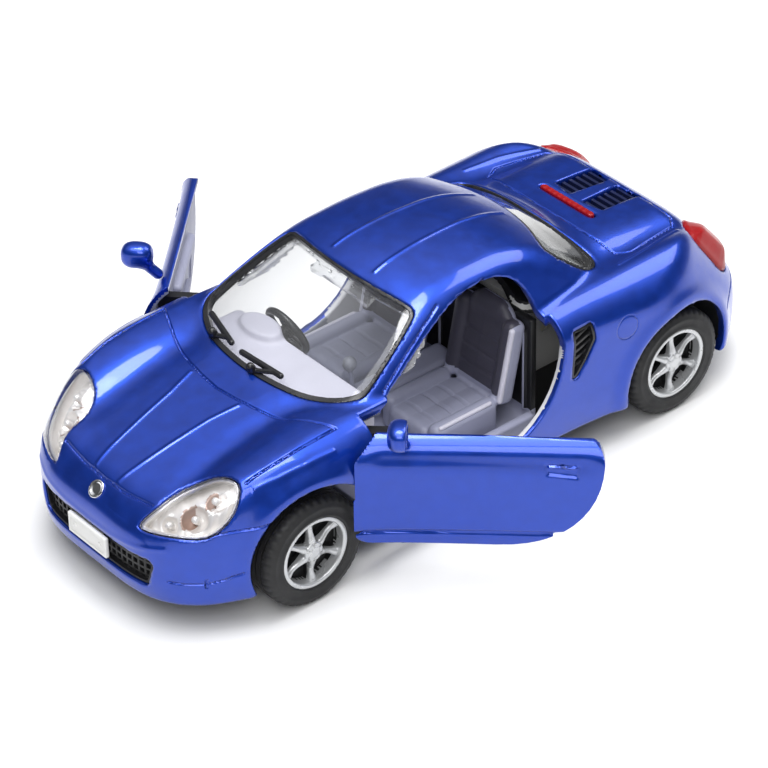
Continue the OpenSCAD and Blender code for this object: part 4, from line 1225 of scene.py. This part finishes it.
# ---------------------------------------------------------------- wheels
def rim_field(u, v, w):
    """Six-spoked rim; w is 0 at the outer face and the axle runs along w."""
    r = np.hypot(u, v)
    turn = np.arctan2(v, u)
    barrel = both(meet(r - RIM_R, 5.6 - r), meet(w + 0.05, -w - 5.6), 0.25)
    lip = np.hypot(r - 5.95, w + 0.3) - 0.36
    k = np.round(turn / (math.pi / 3)) * (math.pi / 3)
    along, across = u * np.cos(k) + v * np.sin(k), v * np.cos(k) - u * np.sin(k)
    width = 0.5 + 0.2 * ease(3.2, 1.4, along) + 0.2 * ease(4.4, 5.6, along)
    crown = -0.45 - 0.55 * ease(1.6, 4.0, along) + 0.3 * ease(4.2, 5.6, along)
    spoke = both(np.abs(across) - width, w - crown + 0.25 * (across / width) ** 2, 0.3)
    spoke = meet(spoke, crown - 1.9 - w, r - 5.9)
    hub = both(r - 1.75, w + 0.28, 0.4)
    cap = both(r - 1.0, w + 0.08, 0.3)
    centre = join(meet(hub, -w - 5.6), meet(cap, -w - 1.0))
    back = both(r - 5.8, np.abs(w + 3.1) - 0.35, 0.2)
    f = join(either(barrel, lip, 0.25), centre, spoke, back)
    bolts = np.hypot(along - 1.35, across) - 0.2
    f = meet(f, -meet(bolts, -0.5 - w))
    return meet(f, -meet(r - 1.0, w + 1.1))


def rim_slots(shape):
    """Everything set back behind the spokes is black."""
    u, v, w = face_centres(shape)
    r = np.hypot(u, v)
    return (((w < -1.75) & (r < 5.6)) | (w < -2.4)).astype(int)


def tyre_shape():
    """Tyre turned from its profile; cuts across the shoulders make the tread blocks."""
    count = 168
    top = TYRE_R
    side = [(RIM_R - 0.05, 0.0), (RIM_R + 0.28, 0.2), (RIM_R + 0.5, 0.22), (RIM_R + 0.62, 0.1),
            (7.9, 0.22), (8.25, 0.24), (8.35, 0.14), (8.9, 0.02), (9.25, -0.2), (9.48, -0.52),
            (top, -0.95)]
    tread = []
    for groove in (1.75, 2.95, 4.15):
        tread += [(top, -groove + 0.2), (top - 0.38, -groove + 0.14),
                  (top - 0.38, -groove - 0.14), (top, -groove - 0.2)]
    width = 5.9
    other = [(r, -width - w) for r, w in reversed(side)]
    profile = np.array(side + tread + other)
    turn = np.arange(count) * 2 * math.pi / count
    shoulder = (profile[:, 0] > 9.2) & ((profile[:, 1] > -1.2) | (profile[:, 1] < -width + 1.2))
    cut = (np.arange(count) % 4 == 0)[:, None] & shoulder[None, :]
    r = profile[:, 0] - 0.28 * cut
    v = np.stack([r * np.cos(turn)[:, None], r * np.sin(turn)[:, None],
                  np.broadcast_to(profile[:, 1], r.shape)], -1).reshape(-1, 3)
    n = len(profile)
    i, j = np.meshgrid(np.arange(count), np.arange(n), indexing="ij")
    a, b = i * n + j, i * n + (j + 1) % n
    c, d = (i + 1) % count * n + (j + 1) % n, (i + 1) % count * n + j
    faces = np.stack([a, b, c, d], -1).reshape(-1, 4)
    return {"v": v, "f": faces[:, ::-1]}


def flat_normals(shape, keep_angle=40):
    """Shading normals from the faces around each corner, split at sharp edges."""
    v, f = shape["v"], shape["f"]
    face = np.cross(v[f[:, 2]] - v[f[:, 0]], v[f[:, 3]] - v[f[:, 1]])
    face /= np.maximum(np.linalg.norm(face, axis=1, keepdims=True), 1e-12)
    own = np.repeat(face, 4, axis=0)
    flat = f.ravel()
    mean = np.stack([np.bincount(flat, own[:, i], len(v)) for i in range(3)], 1)
    mean /= np.maximum(np.linalg.norm(mean, axis=1, keepdims=True), 1e-12)
    smooth = np.einsum("ij,ij->i", own, mean[flat]) > math.cos(math.radians(keep_angle))
    shape["n"] = np.where(smooth[:, None], mean[flat], own)
    return shape


def wheel_place(x, side):
    """Turns a wheel's own axes (face outwards along w) to its place on the car."""
    u, v = ((0, 0, 1), (1, 0, 0)) if side > 0 else ((1, 0, 0), (0, 0, 1))
    w = (0, side, 0)
    m = Matrix([(u[i], v[i], w[i]) for i in range(3)]).to_4x4()
    m.translation = (x, side * TRACK_HALF, WHEEL_Z)
    return m


def wheels():
    rim = mesh_of(rim_field, (-7, -7, -6.5), (7, 7, 1), 0.23)
    slots = rim_slots(rim)
    tyre = flat_normals(tyre_shape())
    for end, x in zip(("front", "rear"), AXLES):
        for side, sign in (("left", 1), ("right", -1)):
            place = wheel_place(x, sign)
            add(f"{side}_{end}_rim_face", moved(rim, place), [SILVER, BLACK_AND_SHADE], f"{end}_wheels",
                [f"{side}_{end}_rim"], slots)
            add(f"{side}_{end}_tyre_tread", moved(tyre, place), [RUBBER], f"{end}_wheels",
                [f"{side}_{end}_tyre"])


# ---------------------------------------------------------------- parts kept from the CAD
CAD_LOOKS = {
    "chassis_plate": BLACK, "chassis_screws": STEEL, "exhaust_tips": CHROME, "left_hinge_arm": BLACK,
    "right_hinge_arm": BLACK, "left_hinge_bracket": BLACK, "right_hinge_bracket": BLACK, "front_axle": STEEL,
    "rear_axle": STEEL, "motor_case_left": CASE, "motor_case_right": CASE, "mainspring": SPRING,
    "spring_gear": NYLON, "idler_gear": NYLON, "drive_pinion": NYLON}


def dress_cad_parts():
    for node, look in CAD_LOOKS.items():
        obj = frame["nodes"][node]
        obj.data.materials.clear()
        obj.data.materials.append(look)


# ---------------------------------------------------------------- stage
def studio_world():
    """White to the camera; for reflections, a bright ceiling over dark surroundings."""
    world = bpy.data.worlds.new("studio")
    bpy.context.scene.world = world
    world.use_nodes = True
    nodes, links = world.node_tree.nodes, world.node_tree.links
    place = put(nodes, "TexCoord")
    split = put(nodes, "SeparateXYZ")
    links.new(place.outputs["Generated"], split.inputs["Vector"])
    ramp = put(nodes, "ValToRGB")
    stops = ramp.color_ramp.elements
    stops[0].position, stops[0].color = 0.0, (0.30, 0.31, 0.33, 1)
    stops[1].position, stops[1].color = 1.0, (0.95, 0.97, 1.0, 1)
    for position, level in ((0.10, 0.06), (0.45, 0.10), (0.62, 0.30), (0.80, 0.80)):
        stops.new(position).color = (level, level * 1.01, level * 1.03, 1)
    links.new(split.outputs["Z"], ramp.inputs["Fac"])
    sight = put(nodes, "LightPath")
    mix = put(nodes, "Mix")
    mix.data_type = "RGBA"
    mix.inputs["B"].default_value = (1, 1, 1, 1)
    links.new(sight.outputs["Is Camera Ray"], mix.inputs["Factor"])
    links.new(ramp.outputs["Color"], mix.inputs["A"])
    links.new(mix.outputs["Result"], nodes["Background"].inputs["Color"])


def floor():
    """Plain pale floor, 3 metres square."""
    half = 1.5
    corners = [(-half, -half, 0), (half, -half, 0), (half, half, 0), (-half, half, 0)]
    mesh = bpy.data.meshes.new("floor")
    mesh.from_pydata(corners, [], [(0, 1, 2, 3)])
    obj = bpy.data.objects.new("floor", mesh)
    bpy.context.scene.collection.objects.link(obj)
    mesh.materials.append(material("floor_white", (0.80, 0.80, 0.80), 0.7, 60, 0.02, 0.01,
                                   Specular_IOR_Level=0.1))


def light(name, kind, place, power, size):
    """Soft lamp at a place in millimetres, aimed at the car. A sun's size is in degrees."""
    lamp = bpy.data.lights.new(name, kind)
    lamp.energy = power
    if kind == "SUN":
        lamp.angle = math.radians(size)
    else:
        lamp.size = size * MM
    obj = bpy.data.objects.new(name, lamp)
    obj.location = Vector(place) * MM
    aim = Vector((0, 0, 15)) * MM - obj.location
    obj.rotation_euler = aim.to_track_quat("-Z", "Y").to_euler()
    bpy.context.scene.collection.objects.link(obj)


def camera():
    """Long lens from the front left, above the car, rolled a little."""
    azimuth, elevation, roll = math.radians(140.65), math.radians(35.55), math.radians(-1.17)
    target, distance = Vector((2.74, -0.36, 11.16)) * MM, 577.3 * MM
    level = math.cos(elevation)
    back = Vector((math.sin(azimuth) * level, -math.cos(azimuth) * level, math.sin(elevation)))
    right = Vector((0, 0, 1)).cross(back).normalized()
    up = back.cross(right)
    x = right * math.cos(roll) + up * math.sin(roll)
    y = up * math.cos(roll) - right * math.sin(roll)
    lens = bpy.data.cameras.new("camera")
    lens.lens = 165.9
    lens.clip_start, lens.clip_end = 0.01, 20
    obj = bpy.data.objects.new("camera", lens)
    place = Matrix((x, y, back)).transposed().to_4x4()
    place.translation = target + back * distance
    obj.matrix_world = place
    bpy.context.scene.collection.objects.link(obj)
    bpy.context.scene.camera = obj


def stage():
    studio_world()
    floor()
    light("sky_panel", "SUN", (120, 80, 600), 1.2, 40)
    light("overhead_softbox", "AREA", (0, 0, 500), 1.3, 200)
    light("front_softbox", "AREA", (260, 300, 330), 0.7, 220)
    light("rear_softbox", "AREA", (-330, 60, 380), 0.9, 260)
    camera()
    bpy.context.scene.view_settings.view_transform = "Standard"
    bpy.context.scene.view_settings.look = "None"


body_shell()
windows()
wipers()
headlights()
taillights()
trim()
doors()
cabin()
wheels()
dress_cad_parts()
stage()
